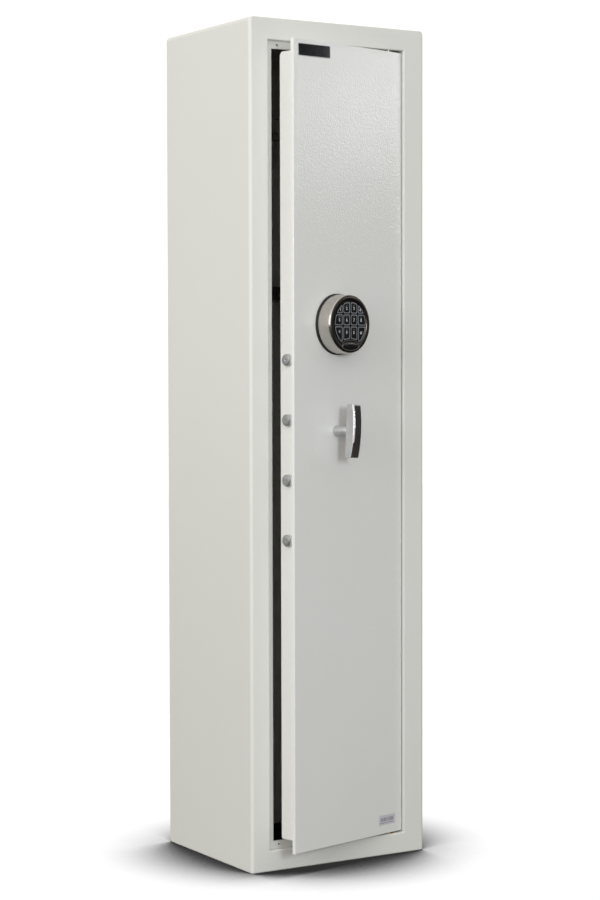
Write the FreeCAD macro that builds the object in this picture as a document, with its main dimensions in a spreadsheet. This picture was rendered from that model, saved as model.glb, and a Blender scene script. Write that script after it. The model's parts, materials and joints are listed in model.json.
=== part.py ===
"""Tall single-door gun safe with a keypad lock, T-handle boltwork, inner locker and barrel rack.

Frame: millimetres, +Z up, +X to the right seen from the front, +Y towards the back.
Origin: centre of the cabinet's base, on the floor.
The door is modelled shut and then swung ajar about its hinge pins by ajar_angle.
"""
import FreeCAD, Part
import math
import os
import re
import Sketcher

Vector = FreeCAD.Vector
Rotation = FreeCAD.Rotation

SIZES = {
    # cabinet shell and door frame
    "cabinet_width": 354, "cabinet_depth": 297, "cabinet_height": 1450, "wall": 3,
    "frame_left": 36.6, "frame_right": 42.5, "frame_top": 37, "frame_bottom": 36,
    "return_depth": 15, "stop_width": 13, "side_bend": 5.5, "top_bend": 8, "edge_round": 2.4,
    "vent_radius": 1.9, "vent_inset": 24.4, "anchor_radius": 6,
    "base_anchor_x": 220, "base_anchor_y": 170, "back_anchor_x": 220, "back_anchor_z": 800,
    "back_anchor_mid": 640,
    # door leaf and its hinge
    "ajar_angle": 14.14, "door_gap": 3.2, "door_recess": 0.5, "plate_thickness": 6,
    "plate_round": 1.2, "pan_inset": 19.5, "pan_overhang": 17, "pan_reach": 51, "pan_sheet": 1.5,
    "pan_bend": 8, "hinge_inset": 22, "hinge_depth": 11, "pin_radius": 4, "pin_play": 0.05,
    "pin_reach": 15, "block_width": 28, "block_height": 28, "block_behind": 12, "stop_clearance": 4,
    "lug_width": 22, "lug_behind": 8, "washer_play": 0.2, "washer_rim": 5, "washer_bore_play": 0.4,
    "cable_radius": 5,
    "cover_margin": 14.75, "cover_bottom": 500, "cover_height": 550, "cover_sheet": 1.5, "cover_lip": 12,
    "cover_screw_inset": 6, "cover_screw_radius": 2, "cover_screw_length": 6.5,
    "cover_head_radius": 4, "cover_head_crown": 2.6, "cover_head_height": 2,
    # boltwork
    "bolt_radius": 10, "bolt_pitch": 102, "bolt_middle": 721, "bolt_depth": 33, "bolt_proud": 6.5,
    "bolt_throw": 22, "bolt_chamfer": 2.5, "bolt_play": 0.05, "bolt_hole_play": 0.4,
    "carriage_thickness": 8, "carriage_width": 24, "carriage_margin": 15,
    "bar_above_tip": 10, "ramp_above_bolt": 12, "ramp_margin": 2, "arm_thickness": 4,
    "arm_height": 20, "arm_reach": 15.5, "arm_eye": 3, "screw_radius": 4, "screw_grip": 20,
    "screw_head_rim": 2.5, "screw_head_height": 5, "guide_inset": 5,
    "keeper_play": 1, "keeper_overlap": 40, "follower_radius": 3, "follower_play": 0.25,
    "follower_start": 14, "follower_inset": 0.5, "cam_radius": 44, "cam_thickness": 5,
    "cam_standoff": 6, "arm_play": 2.6,
    # handle
    "knob_share": 0.38175, "handle_level": 753.2, "handle_tilt": 3.6, "shaft_radius": 9,
    "spindle_radius": 6, "spindle_play": 0.05, "shaft_play": 0.3, "spindle_end": 2,
    "ring_rim": 3, "ring_thickness": 1.2, "bush_rim": 5, "bush_length": 5,
    "handle_reach": 31.5, "bar_length": 90.7, "bar_width": 19,
    "bar_depth": 16.3, "bar_arch": 240, "cap_thickness": 3.2,
    # lock
    "keypad_level": 934.5, "lock_width": 61, "lock_height": 85, "lock_depth": 31, "lock_standoff": 5,
    "tip_level": 925, "lock_bolt_width": 20, "lock_bolt_thickness": 10, "ramp_play": 0.3,
    "lock_bolt_reach": 18, "lock_bolt_length": 50, "lock_bolt_play": 0.2, "lock_cavity": 41,
    "lock_corner": 3, "lock_screw_radius": 3, "lock_screw_inset": 8, "lock_head_radius": 5,
    "lock_head_height": 3, "hard_margin_x": 5, "hard_margin_z": 3,
    # keypad
    "gasket_rim": 2.5, "gasket_depth": 5.5, "drum_radius": 50.5, "drum_draft": 1.1,
    "drum_wall": 3.5, "drum_front": 27, "bezel_front": 30.5, "bezel_round": 3, "bezel_width": 10.1,
    "face_front": 29.3, "key_front": 30.3, "key_margin": 1.5, "key_gap": 1.6, "key_play": 0.35,
    "column_width": 18.4, "row_top": 38.6, "row_two": 17, "row_three": -3.2, "row_end": -29,
    "lens_rise": 1.3, "lens_long": 21, "lens_short": 7.4, "arch_radius": 47.6, "arch_rise": 11.6,
    "spigot_depth": 6.5, "spigot_play": 0.1, "face_play": 0.2, "lens_sink": 2, "key_sink": 5.3,
    "board_front": 21.6, "board_thickness": 1.6, "board_play": 2, "battery_length": 48.4,
    "battery_front": 19, "battery_depth": 17.5, "battery_height": 26.4, "battery_drop": 36,
    # badge and label
    "badge_width": 78, "badge_height": 21.3, "badge_inset": 10.7, "badge_level": 1392.6,
    "badge_thickness": 0.8, "badge_tilt": 1.2, "label_width": 42, "label_height": 17.5,
    "label_inset": 17, "label_level": 64, "label_thickness": 0.3,
    # inside: locker, rack and mat
    "locker_set_back": 160.5, "locker_floor": 1277, "locker_sheet": 2, "locker_side": 24,
    "locker_sill": 1300, "locker_head": 1403, "locker_gap": 0.8, "rod_radius": 2,
    "rod_rise": 0.5, "rod_play": 0.05, "rod_overlap": 5, "flap_side_gap": 1, "rod_lug_size": 8,
    "rod_lug_width": 7, "rod_lug_gap": 0.4, "cam_lock_drop": 17, "barrel_radius": 8,
    "barrel_flange_radius": 10, "barrel_flange": 2, "barrel_back": 0.6, "plug_radius": 5,
    "plug_play": 0.05, "plug_proud": 0.5, "plug_tail": 1, "cam_length": 26, "cam_tail": 6,
    "cam_sheet": 2, "cam_width": 12, "keyway_width": 2, "keyway_height": 7,
    "rack_level": 981, "rack_height": 26, "rack_depth": 46, "rack_sheet": 2, "rack_pad_gap": 6,
    "notch_radius": 15, "notch_sink": 3, "notch_end": 42,
    "mat_thickness": 8, "mat_margin": 6, "mat_hole_rim": 9,
}

PLACES = {
    "front": "-cabinet_depth / 2",
    "back": "cabinet_depth / 2",
    "left": "-cabinet_width / 2",
    "right": "cabinet_width / 2",
    "inner_width": "cabinet_width - 2 * wall",
    "opening_left": "left + frame_left",
    "opening_right": "right - frame_right",
    "opening_top": "cabinet_height - frame_top",
    "opening_width": "opening_right - opening_left",
    "opening_height": "opening_top - frame_bottom",
    "return_back": "front + return_depth",
    "door_front": "front + door_recess",
    "plate_back": "door_front + plate_thickness",
    "door_left": "opening_left + door_gap",
    "door_right": "opening_right - door_gap",
    "door_bottom": "frame_bottom + door_gap",
    "door_top": "opening_top - door_gap",
    "pivot_x": "door_right - hinge_inset",
    "pivot_y": "door_front + hinge_depth",
    "pan_left": "door_left + pan_inset",
    "pan_right": "door_right - pan_inset",
    "pan_bottom": "door_bottom + pan_overhang",
    "pan_top": "door_top - pan_overhang",
    "pan_back": "door_front + pan_reach",
    "stop_end": "pivot_x - block_width / 2 - stop_clearance",
    "block_back": "pivot_y + block_behind",
    "cover_width": "pan_right - pan_left - 2 * cover_margin",
    "bolt_y": "door_front + bolt_depth",
    "knob_x": "door_left + knob_share * (door_right - door_left)",
    "cam_front": "plate_back + cam_standoff",
    "cam_back": "cam_front + cam_thickness",
    "arm_front": "cam_back + arm_play",
    "follower_x": "knob_x - follower_start",
    "bolt_tail": "follower_x - arm_reach",
    "bolt_length": "bolt_tail - (pan_left - bolt_proud)",
    "lock_front": "plate_back + lock_standoff",
    "gasket_radius": "drum_radius + gasket_rim",
    "rim_radius": "drum_radius - drum_draft",
    "face_radius": "rim_radius - bezel_width",
    "key_field": "face_radius - key_margin",
    "lens_drop": "face_radius - lens_rise",
    "arch_top": "lens_drop - arch_rise",
    "lock_bottom": "tip_level + lock_bolt_reach",
    "locker_front": "front + locker_set_back",
    "locker_top": "cabinet_height - wall",
    "rod_y": "locker_front + locker_sheet / 2",
    "rod_z": "locker_sill + rod_radius + rod_rise",
    "flap_half": "cabinet_width / 2 - wall - locker_side - flap_side_gap",
    "flap_top": "locker_head - locker_gap",
    "lock_z": "flap_top - cam_lock_drop",
    "rack_front": "back - wall - rack_depth",
    "notch_pitch": "(inner_width - 2 * notch_end) / 4",
}

doc = FreeCAD.newDocument("GunSafe")
sheet = doc.addObject("Spreadsheet::Sheet", "Sizes")
for line, (size_name, number) in enumerate(SIZES.items(), start=1):
    sheet.set(f"A{line}", size_name)
    sheet.set(f"B{line}", str(number))
    sheet.setAlias(f"B{line}", size_name)
doc.recompute()


def formula(text):
    """Turn a sum of size and place names into an expression on the sheet."""
    def swap(word):
        name = word.group(0)
        if name in PLACES:
            return f"({formula(PLACES[name])})"
        return f"Sizes.{name}" if name in SIZES else name
    return re.sub(r"[a-z_]+", swap, str(text))


def value(text):
    """The number that a formula gives now."""
    return float(sheet.evalExpression(formula(text)))


def place(piece, x="0", y="0", z="0"):
    for axis, text in (("x", x), ("y", y), ("z", z)):
        piece.setExpression(f"Placement.Base.{axis}", formula(text))
    return piece


def block(name, low, size):
    """A box from its low corner and its three lengths."""
    piece = doc.addObject("Part::Box", name)
    for prop, text in zip(("Length", "Width", "Height"), size):
        piece.setExpression(prop, formula(text))
    return place(piece, *low)


TURNS = {
    "up": Rotation(),
    "front": Rotation(Vector(1, 0, 0), 90),
    "back": Rotation(Vector(1, 0, 0), -90),
    "right": Rotation(Vector(0, 1, 0), 90),
    "left": Rotation(Vector(0, 1, 0), -90),
}


def rod(name, base, radius, length, toward="up"):
    """A round bar from the centre of its first end face."""
    piece = doc.addObject("Part::Cylinder", name)
    piece.setExpression("Radius", formula(radius))
    piece.setExpression("Height", formula(length))
    piece.Placement.Rotation = TURNS[toward]
    return place(piece, *base)


def cone(name, base, first, second, length, toward="up"):
    piece = doc.addObject("Part::Cone", name)
    piece.setExpression("Radius1", formula(first))
    piece.setExpression("Radius2", formula(second))
    piece.setExpression("Height", formula(length))
    piece.Placement.Rotation = TURNS[toward]
    return place(piece, *base)


def fuse(name, *pieces):
    piece = doc.addObject("Part::MultiFuse", name)
    piece.Shapes = list(pieces)
    return piece


def group(name, *pieces):
    piece = doc.addObject("Part::Compound", name)
    piece.Links = list(pieces)
    return piece


def cut(name, base, *tools):
    piece = doc.addObject("Part::Cut", name)
    piece.Base = base
    piece.Tool = tools[0] if len(tools) == 1 else group(name + "_tools", *tools)
    return piece


def common(name, base, tool):
    piece = doc.addObject("Part::Common", name)
    piece.Base = base
    piece.Tool = tool
    return piece


def prism(name, points, back_y, depth):
    """A plate drawn as a closed outline of (x, z) corners, from back_y forwards by depth."""
    body = doc.addObject("PartDesign::Body", name)
    sketch = body.newObject("Sketcher::SketchObject", name + "_outline")
    plane = next(feature for feature in body.Origin.OriginFeatures if feature.Role == "XZ_Plane")
    sketch.AttachmentSupport = [(plane, "")]
    sketch.MapMode = "FlatFace"
    corners = [(value(x), value(z)) for x, z in points]
    for index, (x, z) in enumerate(corners):
        next_x, next_z = corners[(index + 1) % len(corners)]
        sketch.addGeometry(Part.LineSegment(Vector(x, z, 0), Vector(next_x, next_z, 0)), False)
    for index in range(len(corners)):
        after = (index + 1) % len(corners)
        sketch.addConstraint(Sketcher.Constraint("Coincident", index, 2, after, 1))
    for index, corner in enumerate(points):
        for kind, number, text in zip(("DistanceX", "DistanceY"), corners[index], corner):
            mark = sketch.addConstraint(Sketcher.Constraint(kind, -1, 1, index, 1, number))
            sketch.setExpression(f"Constraints[{mark}]", formula(text))
    pad = body.newObject("PartDesign::Pad", name + "_pad")
    pad.Profile = sketch
    pad.setExpression("Length", formula(depth))
    return place(body, "0", back_y, "0")


def rounded(name, base, picks, kind="Part::Fillet"):
    """Round edges: each pick is a test on an edge's middle point and direction, and a radius."""
    doc.recompute()
    chosen = []
    for index, edge in enumerate(base.Shape.Edges, start=1):
        middle = edge.valueAt((edge.FirstParameter + edge.LastParameter) / 2)
        along = edge.tangentAt(edge.FirstParameter)
        for test, radius in picks:
            if test(middle, along):
                chosen.append((index, value(radius), value(radius)))
                break
    if not chosen:
        raise ValueError(f"no edge to round on {name}")
    piece = doc.addObject(kind, name)
    piece.Base = base
    piece.Edges = chosen
    return piece


def near(first, second):
    return abs(first - second) < 0.01


SWING = "placement(vector(0; 0; 0); rotation(vector(0; 0; 1); Sizes.ajar_angle);" \
        f" vector({formula('pivot_x')}; {formula('pivot_y')}; 0))"


def tilt(angle, x, z):
    """An expression for a turn about an axis along Y through (x, z)."""
    return f"placement(vector(0; 0; 0); rotation(vector(0; 1; 0); {formula(angle)});" \
           f" vector({formula(x)}; 0; {formula(z)}))"


NODES = []


def node(label, piece, on_door=False, turn=None):
    """Name a finished sub-part, and swing it with the door where it belongs to the door."""
    plain = ("Part::Box", "Part::Cylinder", "Part::Cone", "PartDesign::Body")
    if piece.TypeId in plain:
        piece = group(label + "_node", piece)
    piece.Label = label
    if on_door:
        piece.setExpression("Placement", f"{SWING} * {turn}" if turn else SWING)
    NODES.append(piece)
    return piece


# ---- cabinet shell ----------------------------------------------------------------------------
def build_shell():
    """Folded and welded sheet steel, cut into its panels along their seams."""
    height = value("cabinet_height")
    front_y, back_y = value("front"), value("back")
    outer = rounded("shell_outer", block("shell_block", ("left", "front", "0"),
                                         ("cabinet_width", "cabinet_depth", "cabinet_height")), [
        (lambda p, d: near(abs(d.z), 1) and near(p.y, front_y), "side_bend"),
        (lambda p, d: near(abs(d.y), 1) and near(p.z, height), "top_bend"),
        (lambda p, d: near(p.y, back_y) or near(p.z, 0) or near(p.z, height), "edge_round"),
    ])
    inner = rounded("shell_inner", block("shell_room", ("left + wall", "front + wall", "wall"),
                                         ("inner_width", "cabinet_depth - 2 * wall",
                                          "cabinet_height - 2 * wall")), [
        (lambda p, d: near(abs(d.z), 1) and near(p.y, front_y + value("wall")), "side_bend - wall"),
        (lambda p, d: near(abs(d.y), 1) and near(p.z, height - value("wall")), "top_bend - wall"),
    ])
    shell = cut("shell", outer, inner)
    middle_y = ("return_back", "cabinet_depth - return_depth - wall")
    regions = {
        "front_part": (("left - 1", "front - 1", "-1"),
                       ("cabinet_width + 2", "return_depth + 1", "cabinet_height + 2")),
        "back_part": (("left - 1", "back - wall", "-1"),
                      ("cabinet_width + 2", "wall + 1", "cabinet_height + 2")),
        "top_part": (("left - 1", middle_y[0], "cabinet_height - top_bend"),
                     ("cabinet_width + 2", middle_y[1], "top_bend + 1")),
        "base_part": (("left - 1", middle_y[0], "-1"),
                      ("cabinet_width + 2", middle_y[1], "wall + 1")),
        "left_part": (("left - 1", middle_y[0], "wall"),
                      ("cabinet_width / 2", middle_y[1], "cabinet_height - top_bend - wall")),
        "right_part": (("0", middle_y[0], "wall"),
                       ("cabinet_width / 2 + 1", middle_y[1],
                        "cabinet_height - top_bend - wall")),
    }
    parts = {name: common(name, shell, block(name + "_region", *region))
             for name, region in regions.items()}
    node("left_side", parts["left_part"])
    node("right_side", parts["right_part"])
    node("top_panel", parts["top_part"])
    base_holes = [rod(f"base_anchor_{x_sign}_{y_sign}",
                      (f"{x_sign} * base_anchor_x / 2", f"{y_sign} * base_anchor_y / 2", "-1"),
                      "anchor_radius", "wall + 2")
                  for x_sign in (-1, 1) for y_sign in (-1, 1)]
    node("base_plate", cut("base_drilled", parts["base_part"], *base_holes))
    back_holes = [rod(f"back_anchor_{x_sign}_{z_sign}",
                      (f"{x_sign} * back_anchor_x / 2", "back - wall - 1",
                       f"back_anchor_mid + {z_sign} * back_anchor_z / 2"),
                      "anchor_radius", "wall + 2", "back")
                  for x_sign in (-1, 1) for z_sign in (-1, 1)]
    node("back_panel", cut("back_drilled", parts["back_part"], *back_holes))
    build_front_frame(parts["front_part"])


def hinge_block(name, low_z):
    return block(name, ("pivot_x - block_width / 2", "front + wall", low_z),
                 ("block_width", "block_back - front - wall", "block_height"))


def build_front_frame(face):
    """Front face with returns around the doorway and a stop flange on three of its sides."""
    reveal = block("reveal", ("opening_left - wall", "front", "frame_bottom - wall"),
                   ("opening_width + 2 * wall", "return_depth", "opening_height + 2 * wall"))
    doorway = block("doorway", ("opening_left", "front - 1", "frame_bottom"),
                    ("opening_width", "return_depth + 2", "opening_height"))
    stop_length = "stop_end - opening_left"
    stops = [
        block("stop_left", ("opening_left", "return_back - wall", "frame_bottom"),
              ("stop_width", "wall", "opening_height")),
        block("stop_top", ("opening_left", "return_back - wall", "opening_top - stop_width"),
              (stop_length, "wall", "stop_width")),
        block("stop_bottom", ("opening_left", "return_back - wall", "frame_bottom"),
              (stop_length, "wall", "stop_width")),
    ]
    frame = fuse("frame_stops", cut("frame_open", fuse("frame_face", face, reveal), doorway), *stops)
    front_y = value("front")
    mid_z = value("(opening_top + frame_bottom) / 2")
    mid_x = value("(opening_left + opening_right) / 2")
    edges = [(value("opening_left"), mid_z), (value("opening_right"), mid_z),
             (mid_x, value("frame_bottom")), (mid_x, value("opening_top"))]

    def at_doorway(point, _):
        return near(point.y, front_y) and any(near(point.x, x) and near(point.z, z)
                                              for x, z in edges)

    bent = rounded("frame_bent", frame, [(at_doorway, "edge_round")])
    vents = [rod(f"vent_{name}", ("opening_left + vent_inset", "return_back - wall - 1", level),
                 "vent_radius", "wall + 2", "back")
             for name, level in (("top", "opening_top - stop_width / 2"),
                                 ("bottom", "frame_bottom + stop_width / 2"))]
    node("front_frame", cut("frame_drilled", bent, *vents,
                            hinge_block("upper_notch", "opening_top"),
                            hinge_block("lower_notch", "frame_bottom - block_height")))


# ---- hinge ------------------------------------------------------------------------------------
def build_hinge():
    """Two pins pressed into lugs on the door, turning in bored blocks in the frame."""
    bore = "pin_radius + pin_play"
    node("upper_hinge_block", cut("upper_block_bored", hinge_block("upper_block", "opening_top"),
         rod("upper_bore", ("pivot_x", "pivot_y", "opening_top - 1"), bore, "pin_reach + 3")))
    node("lower_hinge_block", cut("lower_block_bored",
         hinge_block("lower_block", "frame_bottom - block_height"),
         rod("lower_bore", ("pivot_x", "pivot_y", "frame_bottom - pin_reach - 2"), bore,
             "pin_reach + 3")))
    washer_height = "door_gap - washer_play"
    node("thrust_washer", cut("washer",
         rod("washer_disc", ("pivot_x", "pivot_y", "frame_bottom"),
             "pin_radius + washer_rim", washer_height),
         rod("washer_hole", ("pivot_x", "pivot_y", "frame_bottom - 1"), 
             "pin_radius + washer_bore_play", "door_gap + 2")))
    lugs = []
    for name, low_z in (("upper", "pan_top"), ("lower", "door_bottom")):
        lug = block(f"{name}_lug", ("pivot_x - lug_width / 2", "plate_back", low_z),
                    ("lug_width", "pivot_y + lug_behind - plate_back", "pan_overhang"))
        hole = rod(f"{name}_lug_hole", ("pivot_x", "pivot_y", f"{low_z} - 1"), "pin_radius",
                   "pan_overhang + 2")
        lugs.append(cut(f"{name}_lug_bored", lug, hole))
    node("hinge_lugs", group("lug_pair", *lugs), on_door=True)
    pin_length = "pan_overhang + door_gap + pin_reach"
    node("hinge_pins", group("pins",
         rod("upper_pin", ("pivot_x", "pivot_y", "pan_top"), "pin_radius", pin_length),
         rod("lower_pin", ("pivot_x", "pivot_y", "frame_bottom - pin_reach"), "pin_radius",
             pin_length)), on_door=True)


# ---- door leaf --------------------------------------------------------------------------------
def bolt_levels():
    """Heights of the four locking bolts."""
    return [f"(bolt_middle + {step} * bolt_pitch)" for step in (-1.5, -0.5, 0.5, 1.5)]


def build_door_leaf():
    front_y = value("door_front")
    plate = rounded("plate_round_front", block("plate", ("door_left", "door_front", "door_bottom"),
                    ("door_right - door_left", "plate_thickness", "door_top - door_bottom")),
                    [(lambda p, d: near(p.y, front_y), "plate_round")])
    node("door_plate", cut("plate_drilled", plate,
         rod("plate_bore", ("knob_x", "door_front - 1", "handle_level"), "spindle_radius + spindle_play",
             "plate_thickness + 2", "back"),
         rod("cable_hole", ("knob_x", "door_front - 1", "keypad_level"), "cable_radius",
             "plate_thickness + 2", "back")), on_door=True)
    back_y, top_z, bottom_z = value("pan_back"), value("pan_top"), value("pan_bottom")
    sheet_now = value("pan_sheet")

    def tray(name, low, size, inset, shrink):
        edges = [
            (lambda p, d: near(p.y, back_y - inset) and near(p.z, top_z - inset),
             f"pan_bend - {shrink}"),
            (lambda p, d: near(p.y, back_y - inset) and near(p.z, bottom_z + inset),
             f"edge_round - {shrink}"),
        ]
        return rounded(name, block(name + "_block", low, size), edges)

    outer = tray("pan_outer", ("pan_left", "plate_back", "pan_bottom"),
                 ("pan_right - pan_left", "pan_back - plate_back", "pan_top - pan_bottom"), 0, "0")
    inner = tray("pan_inner", ("pan_left + pan_sheet", "plate_back - 1", "pan_bottom + pan_sheet"),
                 ("pan_right - pan_left - 2 * pan_sheet", "pan_back - plate_back - pan_sheet + 1",
                  "pan_top - pan_bottom - 2 * pan_sheet"), sheet_now, "pan_sheet")
    holes = [rod(f"pan_bolt_hole_{index}", ("pan_left - 1", "bolt_y", level),
                 "bolt_radius + bolt_hole_play", "pan_sheet + 2", "right")
             for index, level in enumerate(bolt_levels())]
    cover_left = "(pan_left + pan_right) / 2 - cover_width / 2"
    access = block("access", (f"{cover_left} + cover_lip", "pan_back - pan_sheet - 1",
                              "cover_bottom + cover_lip"),
                   ("cover_width - 2 * cover_lip", "pan_sheet + 2",
                    "cover_height - 2 * cover_lip"))
    spots = [(f"{cover_left} + {x}", f"cover_bottom + {z}")
             for x in ("cover_screw_inset", "cover_width - cover_screw_inset")
             for z in ("cover_screw_inset", "cover_height / 3", "2 * cover_height / 3",
                       "cover_height - cover_screw_inset")]
    shank_front = "pan_back + cover_sheet - cover_screw_length"
    shanks = [rod(f"cover_hole_{index}", (x, f"{shank_front} - 1", z), "cover_screw_radius",
                  "cover_screw_length + 3", "back")
              for index, (x, z) in enumerate(spots)]
    node("door_pan", cut("pan_pierced", cut("pan_tray", outer, inner), *holes, access,
                         group("pan_screw_holes", *shanks)), on_door=True)
    cover = block("cover", (cover_left, "pan_back", "cover_bottom"),
                  ("cover_width", "cover_sheet", "cover_height"))
    node("pan_cover", cut("cover_drilled", cover, group("cover_screw_holes", *shanks)),
         on_door=True)
    screws = [fuse(f"cover_screw_{index}",
                   rod(f"cover_shank_{index}", (x, shank_front, z), "cover_screw_radius",
                       "cover_screw_length", "back"),
                   cone(f"cover_head_{index}", (x, "pan_back + cover_sheet", z),
                        "cover_head_radius", "cover_head_crown", "cover_head_height", "back"))
              for index, (x, z) in enumerate(spots)]
    node("cover_screws", group("cover_screw_set", *screws), on_door=True)


def build_badge_and_label():
    badge_left = "door_left + badge_inset"
    badge_low = "badge_level - badge_height / 2"
    corners = [(badge_left, badge_low), (f"{badge_left} + badge_width", badge_low),
               (f"{badge_left} + badge_width", f"{badge_low} + badge_height"),
               (badge_left, f"{badge_low} + badge_height")]
    node("blank_badge", prism("badge", corners, "door_front", "badge_thickness"), on_door=True,
         turn=tilt("-badge_tilt", f"{badge_left} + badge_width / 2", "badge_level"))
    label_right = "door_right - label_inset"
    label_low = "label_level - label_height / 2"
    corners = [(f"{label_right} - label_width", label_low), (label_right, label_low),
               (label_right, f"{label_low} + label_height"),
               (f"{label_right} - label_width", f"{label_low} + label_height")]
    node("foil_label", prism("label", corners, "door_front", "label_thickness"), on_door=True)


# ---- boltwork ---------------------------------------------------------------------------------
def build_boltwork():
    """Four bolts on one carriage, driven by a spiral cam through a follower pin."""
    low, high = bolt_levels()[0], bolt_levels()[-1]
    half = "carriage_width / 2"
    tail_front = f"bolt_y - {half}"
    bar = block("carriage_bar", ("bolt_tail", tail_front, f"{low} - carriage_margin"),
                ("carriage_thickness", "carriage_width",
                 f"tip_level + bar_above_tip - {low} + carriage_margin"))
    ramp_right = "knob_x + bolt_throw + lock_bolt_width / 2 + ramp_margin"
    ramp_top = f"{high} + ramp_above_bolt"
    drop = "ramp_play * sqrt(1.25)"
    ramp = prism("carriage_ramp", [
        ("bolt_tail", ramp_top), (ramp_right, ramp_top),
        (ramp_right, f"tip_level - {drop} - ({ramp_right} - knob_x) / 2"),
        ("bolt_tail", f"tip_level - {drop} - (bolt_tail - knob_x) / 2")],
        "bolt_y + lock_bolt_thickness / 2 + ramp_margin", "lock_bolt_thickness + 2 * ramp_margin")
    arm = block("carriage_arm", ("bolt_tail", "arm_front", "handle_level - arm_height / 2"),
                ("follower_x + follower_radius + arm_eye - bolt_tail", "arm_thickness",
                 "arm_height"))
    shanks = [rod(f"bolt_screw_hole_{index}", ("bolt_tail - screw_grip", "bolt_y", level),
                  "screw_radius", "carriage_thickness + screw_grip + 1", "right")
              for index, level in enumerate(bolt_levels())]
    pin_hole = rod("follower_hole", ("follower_x", "arm_front - 1", "handle_level"),
                   "follower_radius", "arm_thickness + 2", "back")
    node("bolt_carriage", cut("carriage", fuse("carriage_raw", bar, ramp, arm), *shanks, pin_hole),
         on_door=True)
    body_length = "(bolt_length - bolt_chamfer)"
    bolts = [fuse(f"bolt_{index}",
                  rod(f"bolt_body_{index}", ("bolt_tail", "bolt_y", level), "bolt_radius",
                      body_length, "left"),
                  cone(f"bolt_nose_{index}", (f"bolt_tail - {body_length}", "bolt_y", level),
                       "bolt_radius", "bolt_radius - bolt_chamfer", "bolt_chamfer", "left"))
             for index, level in enumerate(bolt_levels())]
    drilled = [cut(f"bolt_drilled_{index}", bolt, shank)
               for index, (bolt, shank) in enumerate(zip(bolts, shanks))]
    node("locking_bolts", group("bolt_set", *drilled), on_door=True)
    screws = [fuse(f"bolt_screw_{index}",
                   rod(f"bolt_shank_{index}", ("bolt_tail - screw_grip", "bolt_y", level),
                       "screw_radius", "carriage_thickness + screw_grip", "right"),
                   rod(f"bolt_head_{index}", ("bolt_tail + carriage_thickness", "bolt_y", level),
                       "screw_radius + screw_head_rim", "screw_head_height", "right"))
              for index, level in enumerate(bolt_levels())]
    node("bolt_screws", group("bolt_screw_set", *screws), on_door=True)
    node("follower_pin", rod("follower", ("follower_x", "cam_front + follower_inset",
                                          "handle_level"),
                             "follower_radius",
                             "arm_front + arm_thickness - cam_front - follower_inset", "back"),
         on_door=True)
    guide = block("guide", ("pan_left + guide_inset", "plate_back", f"{low} - carriage_margin"),
                  ("carriage_thickness", "bolt_y + carriage_width / 2 - plate_back",
                   f"{high} - {low} + 2 * carriage_margin"))
    bores = [rod(f"guide_bore_{index}", ("pan_left + guide_inset - 1", "bolt_y", level),
                 "bolt_radius + bolt_play", "carriage_thickness + 2", "right")
             for index, level in enumerate(bolt_levels())]
    node("bolt_guide", cut("guide_bored", guide, *bores), on_door=True)
    node("bolt_keeper", block("keeper",
         ("opening_left - wall", "return_back", f"{low} - keeper_overlap"),
         ("stop_width + wall", "bolt_y - bolt_radius - keeper_play - return_back",
          f"{high} - {low} + 2 * keeper_overlap")))


def spiral_slot():
    """The cam's slot: its radius grows evenly with angle, so bolt travel follows the handle."""
    start, throw = value("follower_start"), value("bolt_throw")
    half_width = value("follower_radius + follower_play")
    steps = 12
    rate = throw / (math.pi / 2)
    outer, inner, caps = [], [], []
    for step in range(steps + 1):
        turned = step / steps * math.pi / 2
        angle, radius = math.pi - turned, start + rate * turned
        middle = Vector(radius * math.cos(angle), 0, radius * math.sin(angle))
        ahead = Vector(rate * math.cos(angle) + radius * math.sin(angle), 0,
                       rate * math.sin(angle) - radius * math.cos(angle)).normalize()
        aside = Vector(-ahead.z, 0, ahead.x) * half_width
        outer.append(middle + aside)
        inner.append(middle - aside)
        if step in (0, steps):
            caps.append(middle + ahead * (half_width if step else -half_width))
    edges = []
    for side in (outer, inner):
        curve = Part.BSplineCurve()
        curve.interpolate(side)
        edges.append(curve.toShape())
    edges.append(Part.Arc(outer[0], caps[0], inner[0]).toShape())
    edges.append(Part.Arc(outer[-1], caps[1], inner[-1]).toShape())
    face = Part.Face(Part.Wire(Part.__sortEdges__(edges)))
    slot = doc.addObject("Part::Feature", "cam_slot")
    slot.Shape = face.extrude(Vector(0, value("cam_thickness + 2"), 0))
    return place(slot, "knob_x", "cam_front - 1", "handle_level")


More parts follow.
